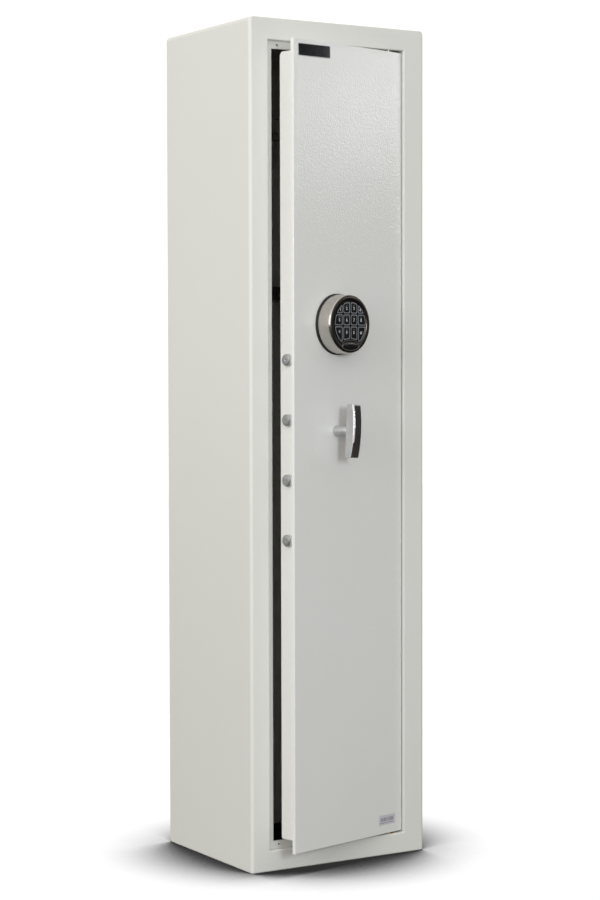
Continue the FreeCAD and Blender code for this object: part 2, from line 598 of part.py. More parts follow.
def build_handle():
    """T-handle outside, spindle through the plate, spiral cam and retaining ring inside."""
    disc = rod("cam_disc", ("knob_x", "cam_front", "handle_level"), "cam_radius", "cam_thickness",
               "back")
    hub_hole = rod("cam_bore", ("knob_x", "cam_front - 1", "handle_level"), "spindle_radius",
                   "cam_thickness + 2", "back")
    node("handle_cam", cut("cam_slotted", disc, hub_hole, spiral_slot()), on_door=True)
    shaft_end = ("knob_x", "door_front - shaft_play", "handle_level")
    shaft = rod("shaft", shaft_end, "shaft_radius", "handle_reach - shaft_play", "front")
    spindle = rod("spindle", shaft_end, "spindle_radius",
                  "cam_back + spindle_end - door_front + shaft_play", "back")
    node("handle_shaft", fuse("shaft_raw", shaft, spindle), on_door=True)
    ring = rod("ring", ("knob_x", "cam_back", "handle_level"), "spindle_radius + ring_rim",
               "ring_thickness", "back")
    ring_hole = rod("ring_hole", ("knob_x", "cam_back - 1", "handle_level"), "spindle_radius",
                    "ring_thickness + 2", "back")
    node("retaining_ring", cut("ring_open", ring, ring_hole), on_door=True)
    bush = rod("bush", ("knob_x", "plate_back", "handle_level"), "spindle_radius + bush_rim",
               "bush_length", "back")
    bush_hole = rod("bush_hole", ("knob_x", "plate_back - 1", "handle_level"),
                    "spindle_radius + spindle_play", "bush_length + 2", "back")
    node("handle_bush", cut("bush_bored", bush, bush_hole), on_door=True)

    bar_front = "door_front - handle_reach - bar_depth"
    bar_block = block("bar_block", ("knob_x - bar_width / 2",
                                    "door_front - handle_reach - bar_depth - cap_thickness - 1",
                                    "handle_level - bar_length / 2"),
                      ("bar_width", "bar_depth + cap_thickness + 1", "bar_length"))
    arch = rod("bar_arch_cut", ("knob_x - bar_width", f"{bar_front} + bar_arch", "handle_level"),
               "bar_arch", "2 * bar_width", "right")
    skin = rod("cap_arch_cut", ("knob_x - bar_width", f"{bar_front} + bar_arch", "handle_level"),
               "bar_arch + cap_thickness", "2 * bar_width", "right")
    lean = tilt("handle_tilt", "knob_x", "handle_level")
    node("handle_bar", common("bar", bar_block, arch), on_door=True, turn=lean)
    node("handle_cap", common("cap", bar_block, cut("cap_skin", skin, arch)), on_door=True,
         turn=lean)


# ---- lock -------------------------------------------------------------------------------------
def build_lock():
    """Electronic lock behind the keypad, with a sprung bevelled bolt that rides the ramp."""
    half = "lock_bolt_width / 2"
    bolt = prism("lock_bolt_blade", [
        (f"knob_x - {half}", f"tip_level + {half} / 2"),
        (f"knob_x + {half}", f"tip_level - {half} / 2"),
        (f"knob_x + {half}", "tip_level + lock_bolt_length"),
        (f"knob_x - {half}", "tip_level + lock_bolt_length")],
        "bolt_y + lock_bolt_thickness / 2", "lock_bolt_thickness")
    node("lock_bolt", bolt, on_door=True)
    case = block("case", ("knob_x - lock_width / 2", "lock_front", "lock_bottom"),
                 ("lock_width", "lock_depth", "lock_height"))
    cavity = block("case_cavity", (f"knob_x - {half} - lock_bolt_play",
                                   "bolt_y - lock_bolt_thickness / 2 - lock_bolt_play",
                                   "lock_bottom - 1"),
                   ("lock_bolt_width + 2 * lock_bolt_play",
                    "lock_bolt_thickness + 2 * lock_bolt_play", "lock_cavity + 1"))
    spots = [(f"knob_x + {x} * (lock_width / 2 - lock_screw_inset)", z)
             for x, z in ((-1, "lock_bottom + lock_screw_inset"),
                          (1, "lock_bottom + lock_screw_inset"),
                          (-1, "lock_bottom + lock_height - lock_screw_inset"))]
    shanks = [rod(f"lock_screw_hole_{index}", (x, "plate_back", z), "lock_screw_radius",
                  "lock_standoff + lock_depth + 1", "back")
              for index, (x, z) in enumerate(spots)]
    case_left = value("knob_x - lock_width / 2")
    case_right = value("knob_x + lock_width / 2")
    cast = rounded("case_cast", case, [
        (lambda p, d: near(abs(d.y), 1) and (near(p.x, case_left) or near(p.x, case_right)),
         "lock_corner")])
    node("lock_case", cut("case_hollow", cast, cavity, *shanks), on_door=True)
    hard = block("hard", ("knob_x - lock_width / 2 - hard_margin_x", "plate_back",
                          "lock_bottom - hard_margin_z"),
                 ("lock_width + 2 * hard_margin_x", "lock_standoff",
                  "lock_height + 2 * hard_margin_z"))
    node("hard_plate", cut("hard_drilled", hard, group("hard_holes", *shanks)), on_door=True)
    screws = [fuse(f"lock_screw_{index}",
                   rod(f"lock_shank_{index}", (x, "plate_back + 1", z), "lock_screw_radius",
                       "lock_standoff + lock_depth - 1", "back"),
                   rod(f"lock_head_{index}", (x, "lock_front + lock_depth", z),
                       "lock_head_radius", "lock_head_height", "back"))
              for index, (x, z) in enumerate(spots)]
    node("lock_screws", group("lock_screw_set", *screws), on_door=True)


# ---- keypad -----------------------------------------------------------------------------------
def keypad_disc(name, near_out, far_out, radius):
    """A disc on the keypad's axis between two distances out from the door's face."""
    return rod(name, ("knob_x", f"door_front - ({near_out})", "keypad_level"), radius,
               f"({far_out}) - ({near_out})", "front")


COLUMN_LINES = (-2.2, -1, 0, 1, 2.2)


def key_cells():
    """Name, left, right, low and high of each key, about the keypad's centre."""
    rows = (("row_two", "row_top", ("one", "two", "three", "four")),
            ("row_three", "row_two", ("five", "six", "seven", "eight")),
            ("row_end", "row_three", ("star", "nine", "zero", "hash")))
    for low, high, names in rows:
        for column, name in enumerate(names):
            left_x, right_x = COLUMN_LINES[column:column + 2]
            yield name, f"{left_x} * column_width", f"{right_x} * column_width", low, high


def key_solid(name, left_x, right_x, low_z, high_z, grow, near_out, far_out):
    """One key: its cell of the grid, inside the key field and above the lens arch."""
    inset = f"(key_gap / 2 - {grow})"
    edge_left = left_x if left_x.startswith("-2") else f"{left_x} + {inset}"
    edge_right = right_x if right_x.startswith("2") else f"{right_x} - {inset}"
    cell = block(f"{name}_cell", (f"knob_x + {edge_left}", f"door_front - ({far_out})",
                                  f"keypad_level + {low_z} + {inset}"),
                 (f"({edge_right}) - ({edge_left})", f"({far_out}) - ({near_out})",
                  f"{high_z} - ({low_z}) - 2 * {inset}"))
    field = keypad_disc(f"{name}_field", f"{near_out} - 1", f"{far_out} + 1",
                        f"key_field + {grow}")
    arch = rod(f"{name}_arch", ("knob_x", f"door_front - ({near_out}) + 1",
                                "keypad_level - arch_top - arch_radius"),
               f"arch_radius + key_gap / 2 - {grow}", f"({far_out}) - ({near_out}) + 2", "front")
    return cut(f"{name}_trim", common(f"{name}_round", cell, field), arch)


def build_keypad():
    node("keypad_gasket", cut("gasket", keypad_disc("gasket_disc", "0", "gasket_depth",
                                                    "gasket_radius"),
         keypad_disc("gasket_hole", "-1", "gasket_depth + 1", "drum_radius - drum_wall")),
         on_door=True)
    taper = cone("drum_taper", ("knob_x", "door_front - gasket_depth", "keypad_level"),
                 "drum_radius", "rim_radius", "drum_front - gasket_depth", "front")
    bore = keypad_disc("drum_bore", "gasket_depth - 1", "drum_front + 1", "drum_radius - drum_wall")
    node("keypad_drum", cut("drum", taper, bore), on_door=True)

    lens_wire = doc.addObject("Part::Ellipse", "lens_wire")
    lens_wire.setExpression("MajorRadius", formula("lens_long"))
    lens_wire.setExpression("MinorRadius", formula("lens_short"))
    lens_wire.Placement.Rotation = TURNS["front"]
    place(lens_wire, "knob_x", "door_front - face_front + lens_sink", "keypad_level - lens_drop")
    lens = doc.addObject("Part::Extrusion", "lens")
    lens.Base = lens_wire
    lens.Dir = Vector(0, -1, 0)
    lens.Solid = True
    lens.setExpression("LengthFwd", formula("bezel_front - face_front + lens_sink + 1"))
    node("keypad_lens", group("lens_piece", lens), on_door=True)

    spigot = keypad_disc("bezel_spigot", "bezel_front - spigot_depth", "drum_front",
                         "drum_radius - drum_wall - spigot_play")
    ring = keypad_disc("bezel_ring", "drum_front", "bezel_front", "rim_radius")
    bezel_hole = keypad_disc("bezel_hole", "0", "bezel_front + 1", "face_radius + face_play")
    open_ring = cut("bezel_open", fuse("bezel_raw", spigot, ring), bezel_hole)
    front_y = value("door_front - bezel_front")
    smooth = rounded("bezel_round", open_ring, [(lambda p, d: near(p.y, front_y), "bezel_round")])
    node("keypad_bezel", cut("bezel_notched", smooth, lens), on_door=True)

    face = keypad_disc("face_disc", "bezel_front - spigot_depth", "face_front", "face_radius")
    pockets, keys = [], []
    for name, left_x, right_x, low_z, high_z in key_cells():
        cell = (left_x, right_x, low_z, high_z)
        pockets.append(key_solid(f"pocket_{name}", *cell, "key_play",
                                 "bezel_front - spigot_depth - 1", "key_front + 1"))
        keys.append((name, key_solid(f"key_{name}", *cell, "0", "bezel_front - key_sink",
                                     "key_front")))
    node("keypad_face", cut("face_pierced", face, lens, *pockets), on_door=True)
    for name, key in keys:
        node(f"key_{name}", key, on_door=True)
    node("circuit_board", keypad_disc("board", "board_front - board_thickness", "board_front",
                                      "drum_radius - drum_wall - board_play"), on_door=True)
    node("battery", block("battery_block", ("knob_x - battery_length / 2",
                                            "door_front - battery_front",
                                            "keypad_level - battery_drop"),
                          ("battery_length", "battery_depth", "battery_height")), on_door=True)


# ---- inside -----------------------------------------------------------------------------------
def build_locker():
    """Locker across the top of the cabinet, with a drop-down flap and a cam lock."""
    side_x = "inner_width / 2"
    floor = block("locker_floor_sheet", ("left + wall", "locker_front", "locker_floor"),
                  ("inner_width", "back - wall - locker_front", "locker_sheet"))
    face = block("locker_face", ("left + wall", "locker_front", "locker_floor"),
                 ("inner_width", "locker_sheet", "locker_top - top_bend - locker_floor"))
    hole = block("locker_mouth", (f"-({side_x} - locker_side)", "locker_front - 1", "locker_sill"),
                 (f"2 * ({side_x} - locker_side)", "locker_sheet + 2", "locker_head - locker_sill"))
    lugs = [block(f"rod_lug_{index}", (low_x, "rod_y - rod_lug_size / 2", "rod_z - rod_lug_size / 2"),
                  ("rod_lug_width", "rod_lug_size", "rod_lug_size"))
            for index, low_x in enumerate((f"{side_x} - locker_side + rod_lug_gap",
                                           f"-({side_x} - locker_side + rod_lug_gap"
                                           " + rod_lug_width)"))]
    half_rod = f"{side_x} - locker_side + rod_overlap"
    half_bore = f"({half_rod} + 0.5)"
    bore = rod("locker_bore", (f"-{half_bore}", "rod_y", "rod_z"), "rod_radius + rod_play",
               f"2 * {half_bore}", "right")
    node("locker_body", cut("locker_bored",
         fuse("locker_raw", floor, cut("locker_front_open", face, hole), *lugs), bore))
    hinge_rod = rod("hinge_rod", (f"-({half_rod})", "rod_y", "rod_z"), "rod_radius",
                    f"2 * ({half_rod})", "right")
    node("locker_hinge_rod", hinge_rod)
    flap = block("flap", ("-flap_half", "locker_front", "rod_z"),
                 ("2 * flap_half", "locker_sheet", "flap_top - rod_z"))
    barrel_hole = rod("flap_lock_hole", ("0", "locker_front - 1", "lock_z"), "barrel_radius",
                      "locker_sheet + 2", "back")
    node("locker_flap", cut("flap_fitted", flap, hinge_rod, barrel_hole))
    flange_front = "locker_front - barrel_flange"
    barrel = fuse("barrel", rod("barrel_rim", ("0", flange_front, "lock_z"),
                                "barrel_flange_radius", "barrel_flange", "back"),
                  rod("barrel_body", ("0", "locker_front", "lock_z"), "barrel_radius",
                      "locker_sheet + barrel_back", "back"))
    node("locker_lock", cut("barrel_bored", barrel,
         rod("barrel_bore", ("0", f"{flange_front} - 1", "lock_z"), "plug_radius + plug_play",
             "barrel_flange + locker_sheet + barrel_back + 2", "back")))
    plug_front = f"{flange_front} - plug_proud"
    cam_front = "locker_front + locker_sheet + plug_tail"
    plug = rod("plug", ("0", plug_front, "lock_z"), "plug_radius", f"{cam_front} - ({plug_front})",
               "back")
    cam = block("plug_cam", ("-cam_length", cam_front, "lock_z - cam_width / 2"),
                ("cam_length + cam_tail", "cam_sheet", "cam_width"))
    keyway = block("keyway", ("-keyway_width / 2", f"{plug_front} - 0.5",
                              "lock_z - keyway_height / 2"),
                   ("keyway_width", "barrel_flange + 0.5", "keyway_height"))
    node("locker_key_plug", cut("plug_slotted", fuse("plug_raw", plug, cam), keyway))


def build_rack_and_mat():
    """Notched barrel rack across the back wall, and a rubber mat on the base."""
    spots = [f"{step} * notch_pitch" for step in (-2, -1, 0, 1, 2)]

    def notches(name):
        tools = []
        for index, x in enumerate(spots):
            mid_y = "rack_front + notch_radius - notch_sink"
            tools.append(rod(f"{name}_round_{index}", (x, mid_y, "rack_level - 1"), "notch_radius",
                             "rack_height + 2"))
            tools.append(block(f"{name}_mouth_{index}",
                               (f"{x} - notch_radius", "rack_front - 1", "rack_level - 1"),
                               ("2 * notch_radius", "notch_radius - notch_sink + 1",
                                "rack_height + 2")))
        return group(name + "_notches", *tools)

    shelf = block("rack_shelf", ("left + wall", "rack_front", "rack_level"),
                  ("inner_width", "rack_depth", "rack_sheet"))
    upright = block("rack_upright", ("left + wall", "back - wall - rack_sheet", "rack_level"),
                    ("inner_width", "rack_sheet", "rack_height"))
    node("barrel_rack", cut("rack_notched", fuse("rack_raw", shelf, upright), notches("rack")))
    pad = block("rack_pad_block", ("left + wall", "rack_front", "rack_level + rack_sheet"),
                ("inner_width", "rack_depth - rack_sheet - rack_pad_gap",
                 "rack_height - rack_sheet"))
    node("barrel_rack_pad", cut("rack_pad_notched", pad, notches("pad")))
    mat = block("mat", ("left + wall + mat_margin", "block_back + mat_margin", "wall"),
                ("inner_width - 2 * mat_margin", "back - wall - block_back - 2 * mat_margin",
                 "mat_thickness"))
    holes = [rod(f"mat_hole_{x_sign}_{y_sign}",
                 (f"{x_sign} * base_anchor_x / 2", f"{y_sign} * base_anchor_y / 2", "wall - 1"),
                 "anchor_radius + mat_hole_rim", "mat_thickness + 2")
             for x_sign in (-1, 1) for y_sign in (-1, 1)]
    node("base_mat", cut("mat_pierced", mat, *holes))


build_shell()
build_hinge()
build_door_leaf()
build_badge_and_label()
build_boltwork()
build_handle()
build_lock()
build_keypad()
build_locker()
build_rack_and_mat()
doc.recompute()

for item in doc.Objects:
    if "Invalid" in item.State or "Error" in item.State:
        raise RuntimeError(f"{item.Name} failed to recompute: {item.State}")
labels = [piece.Label for piece in NODES]
if len(set(labels)) != len(labels):
    raise RuntimeError("two sub-parts share a label")
for piece in NODES:
    if piece.Shape.isNull() or not piece.Shape.isValid() or not piece.Shape.Solids:
        raise RuntimeError(f"{piece.Label} has no valid shape")

os.makedirs("parts", exist_ok=True)
for piece in NODES:
    piece.Shape.exportStep(f"parts/{piece.Label}.step")
print(len(NODES), "sub-parts written")
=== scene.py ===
import json
import math

import bmesh
import bpy
from mathutils import Matrix, Vector


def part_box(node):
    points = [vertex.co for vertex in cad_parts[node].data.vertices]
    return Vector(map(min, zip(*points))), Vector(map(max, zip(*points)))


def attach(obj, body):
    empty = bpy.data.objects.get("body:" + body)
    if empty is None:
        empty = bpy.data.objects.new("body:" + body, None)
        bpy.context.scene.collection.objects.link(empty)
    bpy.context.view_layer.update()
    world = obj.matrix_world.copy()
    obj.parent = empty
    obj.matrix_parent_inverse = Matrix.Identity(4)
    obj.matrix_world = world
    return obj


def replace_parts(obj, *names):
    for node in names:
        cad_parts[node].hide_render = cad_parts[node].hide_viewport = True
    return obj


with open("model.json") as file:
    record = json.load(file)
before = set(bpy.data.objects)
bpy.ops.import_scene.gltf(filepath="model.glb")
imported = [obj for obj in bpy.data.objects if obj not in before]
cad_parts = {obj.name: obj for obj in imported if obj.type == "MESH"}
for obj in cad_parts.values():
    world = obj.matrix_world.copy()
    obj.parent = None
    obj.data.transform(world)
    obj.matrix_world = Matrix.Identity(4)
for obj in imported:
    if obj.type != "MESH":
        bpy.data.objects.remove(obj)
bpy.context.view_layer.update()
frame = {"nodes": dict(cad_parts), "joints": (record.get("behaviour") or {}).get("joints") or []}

# Tall gun safe, door ajar. Metres, +Z up, +X to the right of the front, +Y to the back.
# Pieces of the door are drawn as if the door were shut, then swung with it.

MM = 0.001

for leftover in ("Cube", "Light", "Camera"):
    if leftover in bpy.data.objects:
        bpy.data.objects.remove(bpy.data.objects[leftover])

JOINTS = {joint["name"]: joint for joint in frame["joints"]}
PIVOT = Vector(JOINTS["door_swing"]["pos_m"])
AJAR = math.radians(-JOINTS["door_swing"]["range_deg"][0])
SWING = Matrix.Translation(PIVOT) @ Matrix.Rotation(AJAR, 4, "Z") @ Matrix.Translation(-PIVOT)


def shut_box(node):
    """Corners of a door node with the door shut."""
    back = SWING.inverted()
    points = [back @ vertex.co for vertex in frame["nodes"][node].data.vertices]
    return (Vector(min(p[i] for p in points) for i in range(3)),
            Vector(max(p[i] for p in points) for i in range(3)))


def middle(corners):
    return (corners[0] + corners[1]) / 2


DOOR_FACE = shut_box("door_plate")[0].y
HANDLE = middle(shut_box("handle_shaft"))
KEYPAD = middle(shut_box("keypad_drum")) + Vector((1.2 * MM, 0, 0))


# ---- shared material effects -----------------------------------------------------------------
def new_group(name, inputs, outputs):
    tree = bpy.data.node_groups.new(name, "ShaderNodeTree")
    for label, kind, start in inputs:
        socket = tree.interface.new_socket(label, in_out="INPUT", socket_type="NodeSocket" + kind)
        socket.default_value = start
    for label, kind in outputs:
        tree.interface.new_socket(label, in_out="OUTPUT", socket_type="NodeSocket" + kind)
    return tree, tree.nodes.new("NodeGroupInput"), tree.nodes.new("NodeGroupOutput")


def add(tree, kind, links=(), **settings):
    """A node with its settings, and links given as (input, where it comes from)."""
    made = tree.nodes.new(kind)
    for key, setting in settings.items():
        setattr(made, key, setting)
    for target, source in links:
        if hasattr(source, "is_output"):
            tree.links.new(source, made.inputs[target])
        else:
            made.inputs[target].default_value = source
    return made


def noise(tree, vector, scale, detail, rough):
    return add(tree, "ShaderNodeTexNoise", [
        ("Vector", vector), ("Scale", scale), ("Detail", detail),
        ("Roughness", rough)]).outputs["Fac"]


def mapped(tree, source, before, after, **settings):
    """A value moved from one (low, high) range to another."""
    return add(tree, "ShaderNodeMapRange", [
        ("Value", source), ("From Min", before[0]), ("From Max", before[1]),
        ("To Min", after[0]), ("To Max", after[1])], **settings).outputs["Result"]


NOISE_SPAN = (0.3, 0.7)    # where most of a noise texture's values lie


def close_group(tree, result, colour, rough, height, depth):
    """Give a surface effect its three results."""
    bump = add(tree, "ShaderNodeBump", [("Height", height), ("Distance", depth)])
    tree.links.new(colour, result.inputs["Colour"])
    tree.links.new(rough, result.inputs["Roughness"])
    tree.links.new(bump.outputs["Normal"], result.inputs["Normal"])
    return tree


GRIT_SHARE = 0.28    # grit's part in the height of powder paint
CLOUD_TINT = (0.985, 0.985, 0.975, 1)


def make_coat_group():
    """Baked powder paint: orange-peel swell, fine grit, and slight cloudiness."""
    tree, given, result = new_group("Powder coat", [
        ("Colour", "Color", (0.8, 0.8, 0.78, 1)), ("Peel scale", "Float", 520.0),
        ("Peel depth", "Float", 0.00005), ("Grit scale", "Float", 1500.0),
        ("Sheen low", "Float", 0.3), ("Sheen high", "Float", 0.42)],
        [("Colour", "Color"), ("Roughness", "Float"), ("Normal", "Vector")])
    place = tree.nodes.new("ShaderNodeTexCoord").outputs["Object"]
    peel = noise(tree, place, given.outputs["Peel scale"], 1.5, 0.45)
    grit = noise(tree, place, given.outputs["Grit scale"], 1.0, 0.6)
    cloud = noise(tree, place, 3.1, 3.0, 0.55)
    height = add(tree, "ShaderNodeMath", [(0, grit), (1, GRIT_SHARE), (2, peel)],
                 operation="MULTIPLY_ADD")
    shade = add(tree, "ShaderNodeMix", [
        (0, mapped(tree, cloud, NOISE_SPAN, (0.0, 1.0))), (6, given.outputs["Colour"]),
        (7, CLOUD_TINT)], data_type="RGBA", blend_type="MULTIPLY")
    sheen = mapped(tree, grit, NOISE_SPAN,
                   (given.outputs["Sheen low"], given.outputs["Sheen high"]))
    return close_group(tree, result, shade.outputs[2], sheen, height.outputs[0],
                       given.outputs["Peel depth"])


def make_grain_group():
    """Lines or grit left in a surface by the tool that finished it."""
    tree, given, result = new_group("Tool grain", [
        ("Colour", "Color", (0.7, 0.7, 0.7, 1)), ("Shade", "Color", (0.6, 0.6, 0.6, 1)),
        ("Grain scale", "Vector", (900.0, 900.0, 900.0)), ("Rough low", "Float", 0.2),
        ("Rough high", "Float", 0.3), ("Grain depth", "Float", 0.00001),
        ("Turn", "Float", 0.0)],
        [("Colour", "Color"), ("Roughness", "Float"), ("Normal", "Vector")])
    place = tree.nodes.new("ShaderNodeTexCoord").outputs["Object"]
    rotated = add(tree, "ShaderNodeVectorRotate", [("Vector", place),
                                                   ("Angle", given.outputs["Turn"])],
                  rotation_type="Z_AXIS")
    scaled = add(tree, "ShaderNodeVectorMath", [(0, rotated.outputs[0]),
                                                (1, given.outputs["Grain scale"])],
                 operation="MULTIPLY")
    grain = noise(tree, scaled.outputs[0], 1.0, 3.0, 0.6)
    cloud = noise(tree, place, 38.0, 2.0, 0.5)
    tint = add(tree, "ShaderNodeMix", [
        (0, mapped(tree, cloud, NOISE_SPAN, (0.0, 1.0))), (6, given.outputs["Colour"]),
        (7, given.outputs["Shade"])], data_type="RGBA")
    rough = mapped(tree, grain, NOISE_SPAN,
                   (given.outputs["Rough low"], given.outputs["Rough high"]))
    return close_group(tree, result, tint.outputs[2], rough, grain, given.outputs["Grain depth"])


COAT = make_coat_group()
GRAIN = make_grain_group()


def new_material(name, group, values, shader_values):
    """A Principled material fed by one shared effect with its own values."""
    made = bpy.data.materials.new(name)
    made.use_nodes = True
    tree = made.node_tree
    shader = tree.nodes["Principled BSDF"]
    effect = tree.nodes.new("ShaderNodeGroup")
    effect.node_tree = group
    for label, number in values.items():
        effect.inputs[label].default_value = number
    tree.links.new(effect.outputs["Colour"], shader.inputs["Base Color"])
    tree.links.new(effect.outputs["Roughness"], shader.inputs["Roughness"])
    tree.links.new(effect.outputs["Normal"], shader.inputs["Normal"])
    for label, number in shader_values.items():
        shader.inputs[label].default_value = number
    return made


GRIT_TO_PEEL = 2.9    # how much finer the grit of a powder coat is than its swell


def coat(name, colour, depth, scale, sheen):
    return new_material(name, COAT, {
        "Colour": (*colour, 1), "Peel depth": depth, "Peel scale": scale,
        "Grit scale": scale * GRIT_TO_PEEL, "Sheen low": sheen[0], "Sheen high": sheen[1]},
        {"IOR": 1.5})


def surface(name, colour, shade, rough, scale, depth=0.0, metal=1.0, ior=1.5, turn=0.0):
    """Metal, or with metal=0 rubber, plastic or ink. One number as scale is an even grain."""
    grain = scale if isinstance(scale, tuple) else (scale,) * 3
    return new_material(name, GRAIN, {
        "Colour": (*colour, 1), "Shade": (*shade, 1), "Rough low": rough[0],
        "Rough high": rough[1], "Grain scale": grain, "Grain depth": depth, "Turn": turn},
        {"Metallic": metal, "IOR": ior})


PAINT = (0.80, 0.80, 0.765)
# The door's paint is set lighter than the shell's to stand in for more light on the door: painted
# light.
DOOR_PAINT_LIGHTENED = (0.86, 0.86, 0.845)
AROUND = -AJAR    # turns object axes to the door's own, so that lines follow the door's pieces
FINISHES = {
    "shell_coat": coat("shell_powder_coat", PAINT, 0.000035, 520, (0.34, 0.46)),
    "door_coat": coat("door_powder_coat_lightened", DOOR_PAINT_LIGHTENED, 0.0003, 330, (0.12, 0.18)),
    # The pan's paint is a lighter copy of the door paint, standing in for light on the pan's side
    # wall: painted light.
    "pan_lit_coat": coat("pan_powder_coat_painted_light", (0.93, 0.93, 0.9), 0.00004, 480, (0.34, 0.46)),
    # The inside paint is dark and warm so that the cabinet's inside reads dark through the door gap:
    # painted shade.
    "interior_coat": coat("inside_coat_darkened_as_shade", (0.38, 0.345, 0.295), 0.00004, 520, (0.4, 0.5)),
    "zinc_steel": surface("zinc_plated_steel", (0.62, 0.63, 0.65), (0.52, 0.52, 0.5),
                          (0.28, 0.42), 260, 0.00002),
    "bright_steel": surface("turned_bright_steel", (0.72, 0.73, 0.74), (0.64, 0.65, 0.66),
                            (0.06, 0.1), (1500, 60, 60), 0.000002, turn=AROUND),
    # The bolt ends are rougher than the shanks as a faced finish; their darker steel colour is
    # painted shade.
    "faced_steel": surface("faced_steel_end_shaded", (0.46, 0.465, 0.48), (0.4, 0.405, 0.42),
                           (0.4, 0.52), (60, 900, 900), 0.000006, turn=AROUND),
    "brass": surface("turned_brass", (0.6, 0.46, 0.23), (0.5, 0.37, 0.17), (0.34, 0.46),
                     (60, 60, 1400), 0.00001),
    "hard_steel": surface("hardened_steel", (0.2, 0.2, 0.22), (0.12, 0.12, 0.13), (0.35, 0.5),
                          500, 0.00002),
    "cast_zinc": surface("cast_zinc_alloy", (0.56, 0.56, 0.57), (0.48, 0.48, 0.49), (0.38, 0.5),
                         700, 0.00003),
    "satin_nickel": surface("satin_nickel_plate", (0.58, 0.55, 0.515), (0.57, 0.54, 0.505),
                            (0.27, 0.3), (50, 2400, 50), 0.000002, turn=AROUND),
    "sandblasted": surface("sandblasted_alloy", (0.66, 0.665, 0.665), (0.55, 0.555, 0.555),
                           (0.46, 0.6), 560, 0.0002),
    "polished_chrome": surface("polished_chrome_plate", (0.82, 0.82, 0.84), (0.78, 0.78, 0.8),
                               (0.03, 0.07), 90, 0.000002),
    "black_chrome": surface("black_chrome_plate", (0.13, 0.118, 0.108), (0.1, 0.092, 0.085),
                            (0.28, 0.36), 120, 0.000002),
    "black_rubber": surface("black_seal_rubber", (0.018, 0.017, 0.016), (0.028, 0.027, 0.026),
                            (0.5, 0.66), 1200, 0.00002, metal=0.0, ior=1.35),
    "key_rubber": surface("black_key_rubber", (0.008, 0.008, 0.009), (0.012, 0.012, 0.013),
                          (0.42, 0.56), 1600, 0.00001, metal=0.0, ior=1.25),
    "key_line": surface("grey_key_outline", (0.25, 0.265, 0.29), (0.21, 0.225, 0.245),
                        (0.4, 0.52), 1600, 0.00001, metal=0.0),
    "key_mark": surface("grey_key_dash", (0.13, 0.14, 0.15), (0.11, 0.12, 0.13),
                        (0.45, 0.6), 1600, 0.0, metal=0.0),
    "key_digit": surface("white_digit_ink", (0.72, 0.72, 0.71), (0.62, 0.62, 0.61),
                         (0.45, 0.6), 1600, 0.0, metal=0.0),
    "black_plastic": surface("black_moulded_plastic", (0.02, 0.02, 0.021), (0.03, 0.03, 0.031),
                             (0.3, 0.42), 1100, 0.000015, metal=0.0),
    "gloss_black": surface("gloss_black_lens", (0.006, 0.006, 0.007), (0.01, 0.01, 0.011),
                           (0.2, 0.28), 150, 0.000001, metal=0.0),
    "polished_bronze": surface("dark_polished_edge", (0.3, 0.28, 0.26), (0.24, 0.225, 0.21),
                               (0.36, 0.46), 120, 0.000002),
    "lens_chrome": surface("dark_lens_trim", (0.36, 0.35, 0.33), (0.28, 0.27, 0.255),
                           (0.3, 0.4), 120, 0.000002),
    "rim_nickel": surface("polished_nickel_rim", (0.7, 0.68, 0.65), (0.6, 0.58, 0.555),
                          (0.1, 0.18), 120, 0.000002),
    "board_green": surface("green_circuit_board", (0.03, 0.16, 0.07), (0.02, 0.12, 0.05),
                           (0.35, 0.5), 700, 0.00001, metal=0.0),
    "rack_foam": surface("closed_cell_foam", (0.06, 0.057, 0.053), (0.08, 0.077, 0.072),
                         (0.75, 0.9), 620, 0.00025, metal=0.0),
    "badge_black": surface("gloss_badge_black", (0.012, 0.012, 0.014), (0.02, 0.02, 0.022),
                           (0.05, 0.09), 300, 0.000001, metal=0.0),
    "badge_line": surface("pale_badge_border", (0.5, 0.51, 0.53), (0.46, 0.47, 0.49),
                          (0.25, 0.35), 300, 0.000002, metal=0.0),
    "foil": surface("silver_foil", (0.73, 0.71, 0.77), (0.68, 0.66, 0.72), (0.3, 0.42),
                    400, 0.00001, metal=0.1),
    "foil_ink": surface("dark_foil_ink", (0.2, 0.19, 0.22), (0.3, 0.28, 0.32), (0.4, 0.5),
                        900, 0.0, metal=0.0),
}


def dress_cad_nodes():
    """Every carried-over node gets the finish of its slot. The handle bar is sandblasted instead,
    and the door pan gets a lighter copy of the door paint as painted light.
    """
    for name, piece in frame["nodes"].items():
        slot_name = piece.material_slots[0].material.name.split(".")[0]
        finish = FINISHES[{"handle_bar": "sandblasted", "door_pan": "pan_lit_coat"}.get(name, slot_name)]
        for held in piece.material_slots:
            held.material = finish


# ---- building helpers ------------------------------------------------------------------------
def new_object(name, held):
    made = bpy.data.objects.new(name, held)
    bpy.context.scene.collection.objects.link(made)
    return made


def evaluated(holder):
    """An object's finished shape as a bmesh. The object itself goes."""
    holder.update_tag()
    bpy.context.view_layer.update()
    mesh = bpy.data.meshes.new_from_object(holder.evaluated_get(
        bpy.context.evaluated_depsgraph_get()))
    bpy.data.objects.remove(holder)
    build = bmesh.new()
    build.from_mesh(mesh)
    return build


def settle(name, build, finishes, body, on_door=True, bevel=0.0, crease=32.0):
    """Turn a bmesh into a finished piece that rides on its body."""
    bmesh.ops.remove_doubles(build, verts=build.verts, dist=1e-7)
    bmesh.ops.recalc_face_normals(build, faces=build.faces)
    mesh = bpy.data.meshes.new(name)
    build.to_mesh(mesh)
    build.free()
    if on_door:
        mesh.transform(SWING)
    mesh.shade_smooth()
    mesh.set_sharp_from_angle(angle=math.radians(crease))
    piece = new_object(name, mesh)
    for finish in finishes:
        mesh.materials.append(FINISHES[finish])
    if bevel:
        edge = piece.modifiers.new("softened_edges", "BEVEL")
        edge.width = bevel
        edge.segments = 3
        edge.limit_method = "ANGLE"
        edge.angle_limit = math.radians(crease)
    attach(piece, body)
    return piece


